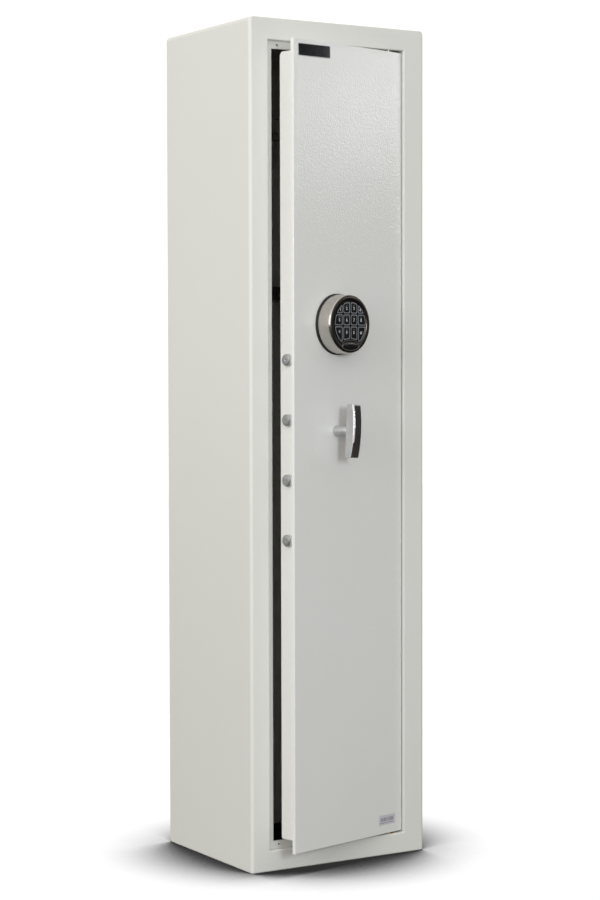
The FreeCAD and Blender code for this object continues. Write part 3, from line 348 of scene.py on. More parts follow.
def softened(points, radii, steps=5):
    """A profile with each corner rounded by its own radius."""
    path = []
    count = len(points)
    for index, (corner, radius) in enumerate(zip(points, radii)):
        here = Vector(corner)
        if radius <= 0:
            path.append(here)
            continue
        before = (Vector(points[index - 1]) - here).normalized()
        after = (Vector(points[(index + 1) % count]) - here).normalized()
        angle = before.angle(after)
        reach = radius / math.tan(angle / 2)
        centre = here + (before + after).normalized() * (radius / math.sin(angle / 2))
        start, end = here + before * reach - centre, here + after * reach - centre
        sweep = start.angle_signed(end)
        for step in range(steps + 1):
            turn = Matrix.Rotation(-sweep * step / steps, 2)
            path.append(centre + turn @ start)
    return path


def turned(build, profile, centre, around="out", steps=96, loop=True):
    """Revolve (radius, height) points. Height is out of the door, or to its left."""
    rings = []
    for radius, height in profile:
        ring = []
        for step in range(steps if radius > 1e-9 else 1):
            angle = 2 * math.pi * step / steps
            across, rise = radius * math.cos(angle), radius * math.sin(angle)
            offset = {"out": (across, -height, rise), "left": (-height, across, rise)}[around]
            ring.append(build.verts.new(centre + Vector(offset)))
        rings.append(ring)
    pairs = list(zip(rings, rings[1:]))
    if loop:
        pairs.append((rings[-1], rings[0]))
    for one, two in pairs:
        for step in range(steps):
            after = (step + 1) % steps
            corners = [one[step % len(one)], one[after % len(one)],
                       two[after % len(two)], two[step % len(two)]]
            corners = list(dict.fromkeys(corners))
            if len(corners) > 2:
                build.faces.new(corners)


def lofted(build, loops, finish_at=None):
    """Closed skin through loops of equal length. finish_at gives the material index of a band."""
    rings = [[build.verts.new(point) for point in loop] for loop in loops]
    count = len(rings[0])
    for band, (one, two) in enumerate(zip(rings, rings[1:])):
        for step in range(count):
            after = (step + 1) % count
            face = build.faces.new((one[step], one[after], two[after], two[step]))
            face.material_index = (finish_at or {}).get(band, 0)
    for ring in (rings[0], rings[-1]):
        build.faces.new(ring)


def on_face(origin, x, z, out):
    """A point by its place on the door's face and its distance out of it."""
    return Vector((origin.x + x, DOOR_FACE - out, origin.z + z))


def leaned(build, centre, angle):
    """Turn a piece about a line straight out of the door."""
    origin = Vector((centre.x, 0, centre.z))
    turn = (Matrix.Translation(origin) @ Matrix.Rotation(angle, 4, "Y")
            @ Matrix.Translation(-origin))
    bmesh.ops.transform(build, matrix=turn, verts=build.verts)


# ---- keypad ----------------------------------------------------------------------------------
COLUMN, FIELD, KEY_GAP = 18.2 * MM, 38 * MM, 2.0 * MM
ROWS = {"top": (17.0, 38.6), "middle": (-3.2, 17.0), "bottom": (-29.0, -3.2)}
KEY_FLOOR = 29 * MM    # front of the face plate, which a pressed key never reaches
KEY_HEIGHT = 2.3 * MM
OUTER_LOW = -32 * MM
DIGIT_SIZE = 7.4 * MM
ARCH_RADIUS, ARCH_TOP = 47.6 * MM, -26.4 * MM
DRUM_RADIUS, RIM_RADIUS, FACE_RADIUS = 50.5 * MM, 49.4 * MM, 39.3 * MM
GASKET_RADIUS, DRUM_INNER = 52 * MM, 47 * MM
GASKET_OUT, DRUM_OUT, KEY_OUT, BEZEL_OUT = 5 * MM, 29.2 * MM, 32.4 * MM, 32.6 * MM
LENS_DROP, LENS_LONG, LENS_SHORT = 38 * MM, 21 * MM, 7.4 * MM
CROWN_STEPS = 16


def smooth_most(distances, blend):
    """The largest of several distances, with the corner between them rounded."""
    most = distances[0]
    for other in distances[1:]:
        mixed = max(blend - abs(most - other), 0) / blend
        most = max(most, other) + mixed * mixed * blend * 0.25
    return most


def key_depth(x, z, cell, blend):
    """How far outside the key's outline a point is, negative inside."""
    left, right, low, high = cell
    arch_centre = ARCH_TOP - ARCH_RADIUS
    return smooth_most([left - x, x - right, low - z, z - high,
                        math.hypot(x, z) - FIELD,
                        ARCH_RADIUS + KEY_GAP / 2 - math.hypot(x, z - arch_centre)], blend)


RAY_LENGTH, HALVINGS = 60 * MM, 26


def outline(depth_at, centre, level, count=88):
    """Points round a shape where its depth has one level, found along rays from the centre."""
    points = []
    for step in range(count):
        angle = 2 * math.pi * step / count
        ray = (math.cos(angle), math.sin(angle))
        near, far = 0.0, RAY_LENGTH
        for _ in range(HALVINGS):
            half = (near + far) / 2
            inside = depth_at(centre[0] + ray[0] * half, centre[1] + ray[1] * half) < level
            near, far = (half, far) if inside else (near, half)
        points.append((centre[0] + ray[0] * near, centre[1] + ray[1] * near))
    return points


def stack(build, depth_at, centre, origin, levels, bands, count=88):
    """Loft a raised shape from (inset, out) levels."""
    loops = []
    for inset, out in levels:
        loops.append([on_face(origin, x, z, out)
                      for x, z in outline(depth_at, centre, -inset, count)])
    lofted(build, loops, finish_at=bands)


KEY_PROFILE = ((0, KEY_HEIGHT / MM), (0, 0.35), (0.12, 0.1), (0.38, 0), (1.3, 0), (1.5, 0.18),
               (1.65, 0.4), (2.6, 0.32))    # each point's inset and its drop below the top, in mm
OUTLINE_BANDS = {2: 1, 3: 1, 4: 1}
OUTER_BLEND, INNER_BLEND = 2.2 * MM, 3.2 * MM
DIGIT_COLUMNS = (-26.6 * MM, -8.9 * MM, 8.9 * MM, 26.6 * MM)
CORNER_PULL, CORNER_DROP = 0.92, 2.4 * MM    # the first and last digit of the top row sit inwards
DASH, DASH_LIFT = (4.2 * MM, 1.2 * MM, 0.12 * MM), 5.6 * MM
STAR_SIZE = 1.3 * DIGIT_SIZE
INK_DEPTH, INK_SWELL, INK_SINK = 0.06 * MM, 0.1 * MM, 0.24 * MM
KEY_CENTRE_LIMIT = 0.86 * FIELD


def build_digit(name, digit, place, mark_lift):
    """A white digit on a key, with a plain grey dash above it where the key has one."""
    text = bpy.data.curves.new(name + "_digit", "FONT")
    text.body = digit
    text.size = STAR_SIZE if digit == "*" else DIGIT_SIZE
    text.extrude = INK_DEPTH
    text.offset = INK_SWELL
    text.align_x, text.align_y = "CENTER", "CENTER"
    ink = evaluated(new_object(name + "_text", text))
    if mark_lift:
        dash = bmesh.ops.create_cube(ink, size=1.0)
        bmesh.ops.scale(ink, vec=DASH, verts=dash["verts"])
        bmesh.ops.translate(ink, vec=(0, mark_lift, 0), verts=dash["verts"])
        for face in {face for corner in dash["verts"] for face in corner.link_faces}:
            face.material_index = 1
    lift = on_face(KEYPAD, *place, KEY_OUT - INK_SINK)
    bmesh.ops.transform(ink, matrix=Matrix.Translation(lift)
                        @ Matrix.Rotation(math.radians(90), 4, "X"), verts=ink.verts)
    settle(f"{name}_digit", ink, ["key_digit", "key_mark"], name)


def build_key(name, cell, blend):
    """A moulded key with a raised grey outline."""
    left, right, low, high = cell
    left_clear = left if left < -2 * COLUMN else left + KEY_GAP / 2
    right_clear = right if right > 2 * COLUMN else right - KEY_GAP / 2
    trimmed = (left_clear, right_clear, low + KEY_GAP / 2, high - KEY_GAP / 2)

    def depth_at(x, z):
        return key_depth(x, z, trimmed, blend)

    centre_x = (max(left, -KEY_CENTRE_LIMIT) + min(right, KEY_CENTRE_LIMIT)) / 2
    foot = max(low, ARCH_TOP + 1.2 * MM) if abs(centre_x) < COLUMN else low
    centre_z = (foot + min(high, math.sqrt(FIELD ** 2 - centre_x ** 2))) / 2
    build = bmesh.new()
    levels = [(inset * MM, KEY_OUT - drop * MM) for inset, drop in KEY_PROFILE]
    stack(build, depth_at, (centre_x, centre_z), KEYPAD, levels, OUTLINE_BANDS)
    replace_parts(settle(f"{name}_cap", build, ["key_rubber", "key_line"], name),
                name)


def build_keys():
    rows = (("top", 26.4 * MM, ("one", "1"), ("two", "2"), ("three", "3"), ("four", "4")),
            ("middle", 6.6 * MM, ("five", "5"), ("six", "6"), ("seven", "7"), ("eight", "8")),
            ("bottom", -14.6 * MM, ("star", "*"), ("nine", "9"), ("zero", "0"), ("hash", "#")))
    lines = (-2.2, -1, 0, 1, 2.2)
    for row, level, *keys in rows:
        low, high = (edge * MM for edge in ROWS[row])
        for column, (word, digit) in enumerate(keys):
            outer = column in (0, 3)
            if row == "bottom":
                low = OUTER_LOW if outer else ROWS[row][0] * MM
            build_key("key_" + word, (lines[column] * COLUMN, lines[column + 1] * COLUMN, low, high),
                      OUTER_BLEND if outer else INNER_BLEND)
            corner = outer and row == "top"
            place = (DIGIT_COLUMNS[column] * (CORNER_PULL if corner else 1),
                     level - CORNER_DROP * corner)
            marked = digit not in "14*#"
            build_digit("key_" + word, digit, place, DASH_LIFT if marked else 0)


def build_keypad():
    """Gasket, satin drum, convex black bezel, lens and its surround."""
    centre = Vector((KEYPAD.x, DOOR_FACE, KEYPAD.z))
    gasket = bmesh.new()
    turned(gasket, softened([(DRUM_INNER, 0), (GASKET_RADIUS, 0), (GASKET_RADIUS, GASKET_OUT),
                             (DRUM_INNER, GASKET_OUT)], [0, 0.3 * MM, 1.6 * MM, 0.3 * MM]), centre)
    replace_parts(settle("gasket_ring", gasket, ["black_rubber"], "door"),
                "keypad_gasket")
    drum = bmesh.new()
    turned(drum, softened([(DRUM_INNER, GASKET_OUT), (DRUM_RADIUS, GASKET_OUT),
                           (RIM_RADIUS, DRUM_OUT), (DRUM_INNER, DRUM_OUT)],
                          [0, 0.5 * MM, 0.9 * MM, 0.2 * MM]), centre, steps=128)
    for face in drum.faces:
        if centre.y - face.calc_center_median().y > DRUM_OUT - 1.1 * MM:
            face.material_index = 1
    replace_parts(settle("drum_shell", drum, ["satin_nickel", "rim_nickel"],
                       "door"), "keypad_drum")
    bezel = bmesh.new()
    crown = []
    inner, seat, foot = FACE_RADIUS + 0.2 * MM, DRUM_INNER - 0.1 * MM, BEZEL_OUT - 6.5 * MM
    mid, half = (RIM_RADIUS + inner) / 2, (RIM_RADIUS - inner) / 2
    for step in range(CROWN_STEPS + 1):
        angle = math.pi * step / CROWN_STEPS
        crown.append((mid + half * math.cos(angle),
                      DRUM_OUT + 0.02 * MM + (BEZEL_OUT - DRUM_OUT) * math.sin(angle) ** 0.8))
    crown += [(inner, foot), (seat, foot), (seat, DRUM_OUT)]
    turned(bezel, crown, centre, steps=128)
    for face in bezel.faces:
        spot = face.calc_center_median() - centre
        if math.hypot(spot.x, spot.z) > RIM_RADIUS - 0.7 * MM:
            face.material_index = 1
    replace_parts(settle("bezel_ring", bezel, ["black_chrome", "rim_nickel"], "door"),
                "keypad_bezel")

    plate = bmesh.new()
    back = KEY_FLOOR - 4 * MM
    turned(plate, [(0, back), (FACE_RADIUS, back), (FACE_RADIUS, KEY_FLOOR), (0, KEY_FLOOR)],
           centre, steps=128, loop=False)
    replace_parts(settle("face_plate", plate, ["black_plastic"], "door"),
                "keypad_face")

    arch_centre = ARCH_TOP - ARCH_RADIUS

    def crescent(x, z):
        return smooth_most([math.hypot(x, z) - FACE_RADIUS,
                            math.hypot(x, z - arch_centre) - ARCH_RADIUS], 1.5 * MM)

    surround = bmesh.new()
    stack(surround, crescent, (0, -33 * MM), KEYPAD,
          [(0, KEY_FLOOR - 0.5 * MM), (0, KEY_OUT - 0.1 * MM), (0.3 * MM, KEY_OUT + 0.3 * MM),
           (0.8 * MM, KEY_OUT + 0.45 * MM), (1.5 * MM, KEY_OUT + 0.3 * MM),
           (1.8 * MM, KEY_OUT)], {2: 1, 3: 1, 4: 1}, count=128)
    settle("lens_surround", surround, ["black_chrome", "polished_bronze"], "door",
           crease=12)

    def oval_stack(levels):
        """Loft an oval on the lens's place from (inset, height over the bezel) in mm."""
        build = bmesh.new()
        loops = []
        for inset, rise in levels:
            long, short = LENS_LONG - inset * MM, LENS_SHORT - inset * MM

            def depth_at(x, z):
                return (math.hypot(x / long, (z + LENS_DROP) / short) - 1) * short

            loops.append([on_face(KEYPAD, x, z, BEZEL_OUT + rise * MM)
                          for x, z in outline(depth_at, (0, -LENS_DROP), 0, 96)])
        lofted(build, loops)
        return build

    trim = oval_stack([(0, (KEY_FLOOR - BEZEL_OUT) / MM - 0.5), (0, 0.3), (0.25, 0.75),
                       (0.75, 1.0), (1.3, 0.75), (1.55, 0.35)])
    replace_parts(settle("lens_trim", trim, ["lens_chrome"], "door"),
                "keypad_lens")
    window = oval_stack([(1.5, 0.1), (1.5, 0.45), (2.2, 0.62), (3.6, 0.78), (5.2, 0.86)])
    settle("lens_window", window, ["gloss_black"], "door")


# ---- handle ----------------------------------------------------------------------------------
REACH, BAR_HALF, BAR_WIDTH = 31.5 * MM, 45.35 * MM, 9.5 * MM
BAR_DEPTH, ARCH, CAP, HANDLE_TILT = 16.3 * MM, 240 * MM, 3.2 * MM, math.radians(3.6)
HALF_STATIONS, SPINDLE_RADIUS, NECK_RADIUS = 14, 6 * MM, 9 * MM


def arch_out(z):
    """Distance out of the door to the bar's arched front."""
    return REACH + BAR_DEPTH - (ARCH - math.sqrt(ARCH * ARCH - z * z))


def build_handle():
    stations = [BAR_HALF * (step / HALF_STATIONS - 1) for step in range(2 * HALF_STATIONS + 1)]
    bar = bmesh.new()
    loops = []
    for z in stations:
        loops.append([on_face(HANDLE, x, z, out) for x, out in (
            (-BAR_WIDTH, REACH), (-BAR_WIDTH, arch_out(z)), (BAR_WIDTH, arch_out(z)),
            (BAR_WIDTH, REACH))])
    lofted(bar, loops)
    leaned(bar, HANDLE, HANDLE_TILT)
    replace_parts(settle("bar_body", bar, ["sandblasted"], "handle",
                       bevel=0.5 * MM), "handle_bar")

    cap = bmesh.new()
    loops = []
    slope, rise = 1.9 * MM, 1.8 * MM
    ends = [-BAR_HALF, *[z * (BAR_HALF - slope) / BAR_HALF for z in stations], BAR_HALF]
    for z in ends:
        at_end = abs(z) > BAR_HALF - slope / 2
        top = arch_out(z) + CAP - (rise if at_end else 0)
        shoulder = arch_out(z) + CAP - rise
        loops.append([on_face(HANDLE, x, z, out) for x, out in (
            (-BAR_WIDTH, arch_out(z) + 0.01 * MM), (-BAR_WIDTH, shoulder),
            (-BAR_WIDTH + slope, top), (BAR_WIDTH - slope, top), (BAR_WIDTH, shoulder),
            (BAR_WIDTH, arch_out(z) + 0.01 * MM))])
    lofted(cap, loops)
    leaned(cap, HANDLE, HANDLE_TILT)
    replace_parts(settle("bar_cap", cap, ["polished_chrome"], "handle",
                       bevel=0.35 * MM, crease=20), "handle_cap")

    shaft = bmesh.new()
    centre = Vector((HANDLE.x, DOOR_FACE, HANDLE.z))
    spindle_end = -(shut_box("handle_shaft")[1].y - DOOR_FACE)
    blunt, step = 0.6 * MM, 0.4 * MM
    turned(shaft, [(0, spindle_end), (SPINDLE_RADIUS - blunt, spindle_end),
                   (SPINDLE_RADIUS, spindle_end + blunt), (SPINDLE_RADIUS, 0.3 * MM),
                   (NECK_RADIUS - step, 0.3 * MM), (NECK_RADIUS, 0.7 * MM),
                   (NECK_RADIUS, REACH - 1.2 * MM), (NECK_RADIUS - step, REACH - step),
                   (NECK_RADIUS - step, REACH), (0, REACH)], centre, steps=64, loop=False)
    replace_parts(settle("handle_neck", shaft, ["sandblasted"], "handle"),
                "handle_shaft")


# ---- badge and label -------------------------------------------------------------------------
def rounded_plate(half_x, half_z, radius):
    def depth_at(x, z):
        over_x, over_z = abs(x) - half_x + radius, abs(z) - half_z + radius
        outside = math.hypot(max(over_x, 0), max(over_z, 0))
        return outside + min(max(over_x, over_z), 0) - radius
    return depth_at


BADGE_LEAN = math.radians(1.2)


def build_badge():
    centre = middle(shut_box("blank_badge"))
    build = bmesh.new()
    shape = rounded_plate(39 * MM, 10.65 * MM, 0.7 * MM)
    stack(build, shape, (0, 0), Vector((centre.x, 0, centre.z)),
          [(0, 0), (0, 0.6 * MM), (0.15 * MM, 0.76 * MM), (0.3 * MM, 0.8 * MM),
           (0.95 * MM, 0.8 * MM), (1.05 * MM, 0.7 * MM), (1.4 * MM, 0.68 * MM)],
          {0: 1, 1: 1, 2: 1, 3: 1, 4: 1}, count=160)
    leaned(build, centre, -BADGE_LEAN)
    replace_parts(settle("badge_plate", build, ["badge_black", "badge_line"], "door",
                       crease=1.5), "blank_badge")


# ---- geometry-node trees ---------------------------------------------------------------------
def new_tree(name, inputs):
    tree = bpy.data.node_groups.new(name, "GeometryNodeTree")
    for label, kind, start in inputs:
        socket = tree.interface.new_socket(label, in_out="INPUT", socket_type="NodeSocket" + kind)
        if start is not None:
            socket.default_value = start
    tree.interface.new_socket("Geometry", in_out="OUTPUT", socket_type="NodeSocketGeometry")
    return tree, tree.nodes.new("NodeGroupInput").outputs, tree.nodes.new("NodeGroupOutput")


def close_tree(tree, given, result, geometry):
    """Realise what was placed and give it its finish."""
    real = add(tree, "GeometryNodeRealizeInstances", [("Geometry", geometry)])
    painted = add(tree, "GeometryNodeSetMaterial", [("Geometry", real.outputs[0]),
                                                    ("Material", given["Finish"])])
    tree.links.new(painted.outputs[0], result.inputs[0])
    return tree


def sum_of(tree, first, second, operation="ADD"):
    return add(tree, "ShaderNodeMath", [(0, first), (1, second)], operation=operation).outputs[0]


def xyz(tree, x=0.0, y=0.0, z=0.0):
    return add(tree, "ShaderNodeCombineXYZ", [("X", x), ("Y", y), ("Z", z)]).outputs[0]


def make_screw_tree():
    """Cross-recess screws, one on each given point, each at its own random turn."""
    tree, given, result = new_tree("Screws on points", [
        ("Geometry", "Geometry", None), ("Head radius", "Float", 0.004),
        ("Head height", "Float", 0.002), ("Crown share", "Float", 0.7),
        ("Recess width", "Float", 0.0011), ("Shank radius", "Float", 0.002),
        ("Shank length", "Float", 0.006), ("Facing", "Vector", (0.0, 0.0, 0.0)),
        ("Seed", "Int", 7), ("Finish", "Material", None)])
    crown = sum_of(tree, given["Head radius"], given["Crown share"], "MULTIPLY")
    head = add(tree, "GeometryNodeMeshCone", [("Vertices", 28), ("Radius Top", crown),
                                              ("Radius Bottom", given["Head radius"]),
                                              ("Depth", given["Head height"])])
    long_side = sum_of(tree, given["Head radius"], 1.15, "MULTIPLY")
    bars = []
    for size in ((long_side, given["Recess width"]), (given["Recess width"], long_side)):
        cube = add(tree, "GeometryNodeMeshCube", [("Size", xyz(tree, *size,
                                                               given["Head height"]))])
        raised = add(tree, "GeometryNodeTransform", [
            ("Geometry", cube.outputs[0]), ("Translation", xyz(tree, 0.0, 0.0,
                                                               given["Head height"]))])
        bars.append(raised.outputs[0])
    recess = add(tree, "GeometryNodeMeshBoolean", [("Mesh 1", head.outputs["Mesh"])],
                 operation="DIFFERENCE", solver="EXACT")
    for bar in bars:
        tree.links.new(bar, recess.inputs["Mesh 2"])
    shank = add(tree, "GeometryNodeMeshCylinder", [("Vertices", 20),
                                                   ("Radius", given["Shank radius"]),
                                                   ("Depth", given["Shank length"])])
    sunk = add(tree, "GeometryNodeTransform", [
        ("Geometry", shank.outputs["Mesh"]),
        ("Translation", xyz(tree, 0.0, 0.0, sum_of(tree, given["Shank length"], -0.5,
                                                   "MULTIPLY")))])
    whole = add(tree, "GeometryNodeJoinGeometry")
    tree.links.new(sunk.outputs[0], whole.inputs[0])
    tree.links.new(recess.outputs["Mesh"], whole.inputs[0])
    spin = add(tree, "FunctionNodeRandomValue", data_type="FLOAT")
    spin.inputs[2].default_value, spin.inputs[3].default_value = 0.0, math.pi
    tree.links.new(given["Seed"], spin.inputs["Seed"])
    spun = add(tree, "FunctionNodeEulerToRotation", [("Euler", xyz(tree, 0.0, 0.0,
                                                                   spin.outputs[1]))])
    facing = add(tree, "FunctionNodeEulerToRotation", [("Euler", given["Facing"])])
    both = add(tree, "FunctionNodeRotateRotation", [("Rotation", facing.outputs[0]),
                                                    ("Rotate By", spun.outputs[0])],
               rotation_space="LOCAL")
    placed = add(tree, "GeometryNodeInstanceOnPoints", [
        ("Points", given["Geometry"]), ("Instance", whole.outputs[0]),
        ("Rotation", both.outputs[0])])
    return close_tree(tree, given, result, placed.outputs[0])


def make_row_tree():
    """One turned piece repeated up a straight row."""
    tree, given, result = new_tree("Row of turned pieces", [
        ("Geometry", "Geometry", None), ("Count", "Int", 4), ("Spacing", "Float", 0.1),
        ("First place", "Vector", (0.0, 0.0, 0.0)), ("Finish", "Material", None)])
    line = add(tree, "GeometryNodeMeshLine", [
        ("Count", given["Count"]), ("Start Location", given["First place"]),
        ("Offset", xyz(tree, 0.0, 0.0, given["Spacing"]))])
    placed = add(tree, "GeometryNodeInstanceOnPoints", [("Points", line.outputs[0]),
                                                        ("Instance", given["Geometry"])])
    return close_tree(tree, given, result, placed.outputs[0])


def make_rib_tree():
    """Ribs across a mat, laid from front to back."""
    tree, given, result = new_tree("Mat ribs", [
        ("Geometry", "Geometry", None), ("Rib count", "Int", 30), ("Rib spacing", "Float", 0.008),
        ("Rib length", "Float", 0.3), ("Rib radius", "Float", 0.0015),
        ("First rib", "Vector", (0.0, 0.0, 0.0)), ("Finish", "Material", None)])
    line = add(tree, "GeometryNodeMeshLine", [
        ("Count", given["Rib count"]), ("Start Location", given["First rib"]),
        ("Offset", xyz(tree, 0.0, given["Rib spacing"], 0.0))])
    rib = add(tree, "GeometryNodeMeshCylinder", [("Vertices", 10), ("Radius", given["Rib radius"]),
                                                 ("Depth", given["Rib length"])])
    laid = add(tree, "GeometryNodeTransform", [("Geometry", rib.outputs["Mesh"]),
                                               ("Rotation", (0.0, math.pi / 2, 0.0))])
    placed = add(tree, "GeometryNodeInstanceOnPoints", [("Points", line.outputs[0]),
                                                        ("Instance", laid.outputs[0])])
    joined = add(tree, "GeometryNodeJoinGeometry")
    tree.links.new(placed.outputs[0], joined.inputs[0])
    tree.links.new(given["Geometry"], joined.inputs[0])
    return close_tree(tree, given, result, joined.outputs[0])


def make_bar_tree():
    """A block of printed bars of uneven width, which stand for no code."""
    tree, given, result = new_tree("Printed bars", [
        ("Geometry", "Geometry", None), ("Bar count", "Int", 24), ("Bar spacing", "Float", 0.001),
        ("Bar height", "Float", 0.006), ("Thinnest", "Float", 0.25), ("Widest", "Float", 0.8),
        ("Ink depth", "Float", 0.00004), ("First bar", "Vector", (0.0, 0.0, 0.0)),
        ("Seed", "Int", 3), ("Finish", "Material", None)])
    line = add(tree, "GeometryNodeMeshLine", [
        ("Count", given["Bar count"]), ("Start Location", given["First bar"]),
        ("Offset", xyz(tree, given["Bar spacing"], 0.0, 0.0))])
    bar = add(tree, "GeometryNodeMeshCube", [
        ("Size", xyz(tree, given["Bar spacing"], given["Ink depth"], given["Bar height"]))])
    width = add(tree, "FunctionNodeRandomValue", data_type="FLOAT")
    tree.links.new(given["Thinnest"], width.inputs[2])
    tree.links.new(given["Widest"], width.inputs[3])
    tree.links.new(given["Seed"], width.inputs["Seed"])
    placed = add(tree, "GeometryNodeInstanceOnPoints", [
        ("Points", line.outputs[0]), ("Instance", bar.outputs["Mesh"]),
        ("Scale", xyz(tree, width.outputs[1], 1.0, 1.0))])
    return close_tree(tree, given, result, placed.outputs[0])


def grown(name, start, tree, values, finish, body, on_door=True, replaced=()):
    """Run a tree on a starting bmesh and keep the result as a plain piece."""
    mesh = bpy.data.meshes.new(name + "_start")
    start.to_mesh(mesh)
    start.free()
    source = new_object(name + "_start", mesh)
    modifier = source.modifiers.new("growth", "NODES")
    modifier.node_group = tree
    sockets = {item.name: item.identifier for item in tree.interface.items_tree
               if item.item_type == "SOCKET" and item.in_out == "INPUT"}
    for label, number in {**values, "Finish": FINISHES[finish]}.items():
        modifier[sockets[label]] = number
    piece = settle(name, evaluated(source), [finish], body, on_door)
    if replaced:
        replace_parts(piece, *replaced)
    return piece


def points_at(places):
    build = bmesh.new()
    for point in places:
        build.verts.new(point)
    return build


def build_screws():
    """The cover's screws and the lock's three screws all face the back."""
    tree = make_screw_tree()
    facing_back = (math.radians(-90), 0.0, 0.0)
    low, high = shut_box("cover_screws")
    cover_low, cover_high = shut_box("pan_cover")
    inset = 4 * MM
    step = (cover_high.z - cover_low.z) / 3
    levels = (low.z + inset, cover_low.z + step, cover_low.z + 2 * step, high.z - inset)
    grown("cover_screw_row", points_at([(x, cover_high.y, z) for z in levels
                                        for x in (low.x + inset, high.x - inset)]), tree,
          {"Head radius": 4 * MM, "Head height": 2 * MM, "Crown share": 0.65,
           "Recess width": 1.1 * MM, "Shank radius": 2 * MM, "Shank length": 6.5 * MM,
           "Facing": facing_back, "Seed": 11}, "zinc_steel", "door",
          replaced=["cover_screws"])
    low, high = shut_box("lock_screws")
    inset = 5 * MM
    head = 3 * MM
    left, right, foot, top = low.x + inset, high.x - inset, low.z + inset, high.z - inset
    grown("lock_screw_set", points_at([(x, high.y - head, z) for x, z in (
        (left, foot), (right, foot), (left, top))]), tree,
          {"Head radius": 5 * MM, "Head height": head, "Crown share": 0.8,
           "Recess width": 1.4 * MM, "Shank radius": 3 * MM, "Shank length": 35 * MM,
           "Facing": facing_back, "Seed": 5}, "zinc_steel", "door",
          replaced=["lock_screws"])


def build_bolts():
    """Four turned bolts: a bright shank, and a faced end with a centre mark. The end's darker steel
    colour is painted shade.
    """
    low, high = shut_box("locking_bolts")
    radius, length, chamfer = 10 * MM, high.x - low.x, 1.6 * MM
    shoulder = length - chamfer - 0.4 * MM
    shank = [(0, 0), (4 * MM, 0), (4 * MM, 0.5 * MM), (radius - 0.6 * MM, 0.5 * MM),
             (radius, 1.1 * MM), (radius, shoulder), (0, shoulder)]
    nose = [(0, shoulder), (radius, shoulder), (radius - 0.1 * MM, shoulder + 0.4 * MM),
            (radius - chamfer + 0.3 * MM, length - 0.2 * MM),
            (radius - chamfer - 0.2 * MM, length), (2.2 * MM, length),
            (1.9 * MM, length - 0.2 * MM), (1.2 * MM, length - 0.7 * MM),
            (0, length - 0.9 * MM)]
    row = {"Count": 4, "Spacing": (high.z - low.z - 2 * radius) / 3,
           "First place": (high.x, (low.y + high.y) / 2, low.z + radius)}
    tree = make_row_tree()
    for name, profile, finish, replaced in (
            ("bolt_row", shank, "bright_steel", ["locking_bolts"]),
            ("bolt_ends", nose, "faced_steel", [])):
        bolt = bmesh.new()
        turned(bolt, profile, Vector((0, 0, 0)), around="left", steps=64, loop=False)
        grown(name, bolt, tree, row, finish, "boltwork", replaced=replaced)


def build_mat_ribs():
    low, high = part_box("base_mat")
    sheet = bmesh.new()
    plate = bmesh.ops.create_cube(sheet, size=1.0)
    rib = 1.5 * MM
    bmesh.ops.scale(sheet, vec=(high.x - low.x, high.y - low.y, high.z - low.z - rib),
                    verts=plate["verts"])
    bmesh.ops.translate(sheet, vec=((low.x + high.x) / 2, (low.y + high.y) / 2,
                                    (low.z + high.z - rib) / 2), verts=plate["verts"])
    spacing = 7 * MM
    count = int((high.y - low.y - 2 * rib) / spacing) + 1
    grown("ribbed_mat", sheet, make_rib_tree(),
          {"Rib count": count, "Rib spacing": spacing, "Rib length": high.x - low.x - 4 * MM,
           "Rib radius": rib, "First rib": (0.0, low.y + 3 * MM, high.z - rib)},
          "black_rubber", "cabinet", on_door=False, replaced=["base_mat"])


def build_label():
    centre = middle(shut_box("foil_label"))
    plate = bmesh.new()
    stack(plate, rounded_plate(21 * MM, 8.75 * MM, 1.0 * MM), (0, 0),
          Vector((centre.x, 0, centre.z)),
          [(0, 0), (0, 0.16 * MM), (0.1 * MM, 0.2 * MM), (1 * MM, 0.2 * MM)], {}, count=96)
    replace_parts(settle("label_sheet", plate, ["foil"], "door"), "foil_label")
    tree = make_bar_tree()
    y = DOOR_FACE - 0.22 * MM
    grown("label_bars", bmesh.new(), tree,
          {"Bar count": 27, "Bar spacing": 1.2 * MM, "Bar height": 6.4 * MM, "Thinnest": 0.25,
           "Widest": 0.85, "Ink depth": 0.04 * MM,
           "First bar": (centre.x - 15.6 * MM, y, centre.z + 0.6 * MM), "Seed": 4},
          "foil_ink", "door")
    grown("label_lines", bmesh.new(), tree,
          {"Bar count": 2, "Bar spacing": 18 * MM, "Bar height": 0.9 * MM, "Thinnest": 0.9,
           "Widest": 0.96, "Ink depth": 0.04 * MM,
           "First bar": (centre.x - 9 * MM, y, centre.z - 5.4 * MM), "Seed": 9},
          "foil_ink", "door")


# ---- stage -----------------------------------------------------------------------------------
CAMERA_TURN = (31.355, -2.458, -0.131)    # yaw, pitch and roll in degrees
CAMERA_PLACE, CAMERA_LENS, CAMERA_SENSOR = (-2.01358, -3.32280, 0.87964), 87.03, 36
BRIGHT_SIDE, DARK_SIDE = (-0.96, 0.1, 0.26), (0.86, -0.505, 0.0)
WORLD_TINT, ROOM_LEVELS, BACKDROP_LEVEL = (1, 0.972, 0.935, 1), (0.34, 1.0), 1.15
DARK_EDGE, DARK_LEVELS = (0.72, 0.9), (1.0, 0.1)
FLOOR_HALF, FLOOR_TONE, FLOOR_MIRRORED = 9, (0.26, 0.25, 0.235, 1), (0.05, 0.043, 0.04, 1)
SHADOW_REACH, SHADOW_EDGE, SHADOW_LEVELS = 0.28, (0.5, 0.95), (0.03, 1.05)
DOOR_MIDDLE, SHELL_MIDDLE, DOOR_TOP = (0.0, -0.17, 0.8), (-0.17, 0, 0.8), (0.1, -0.15, 1.3)


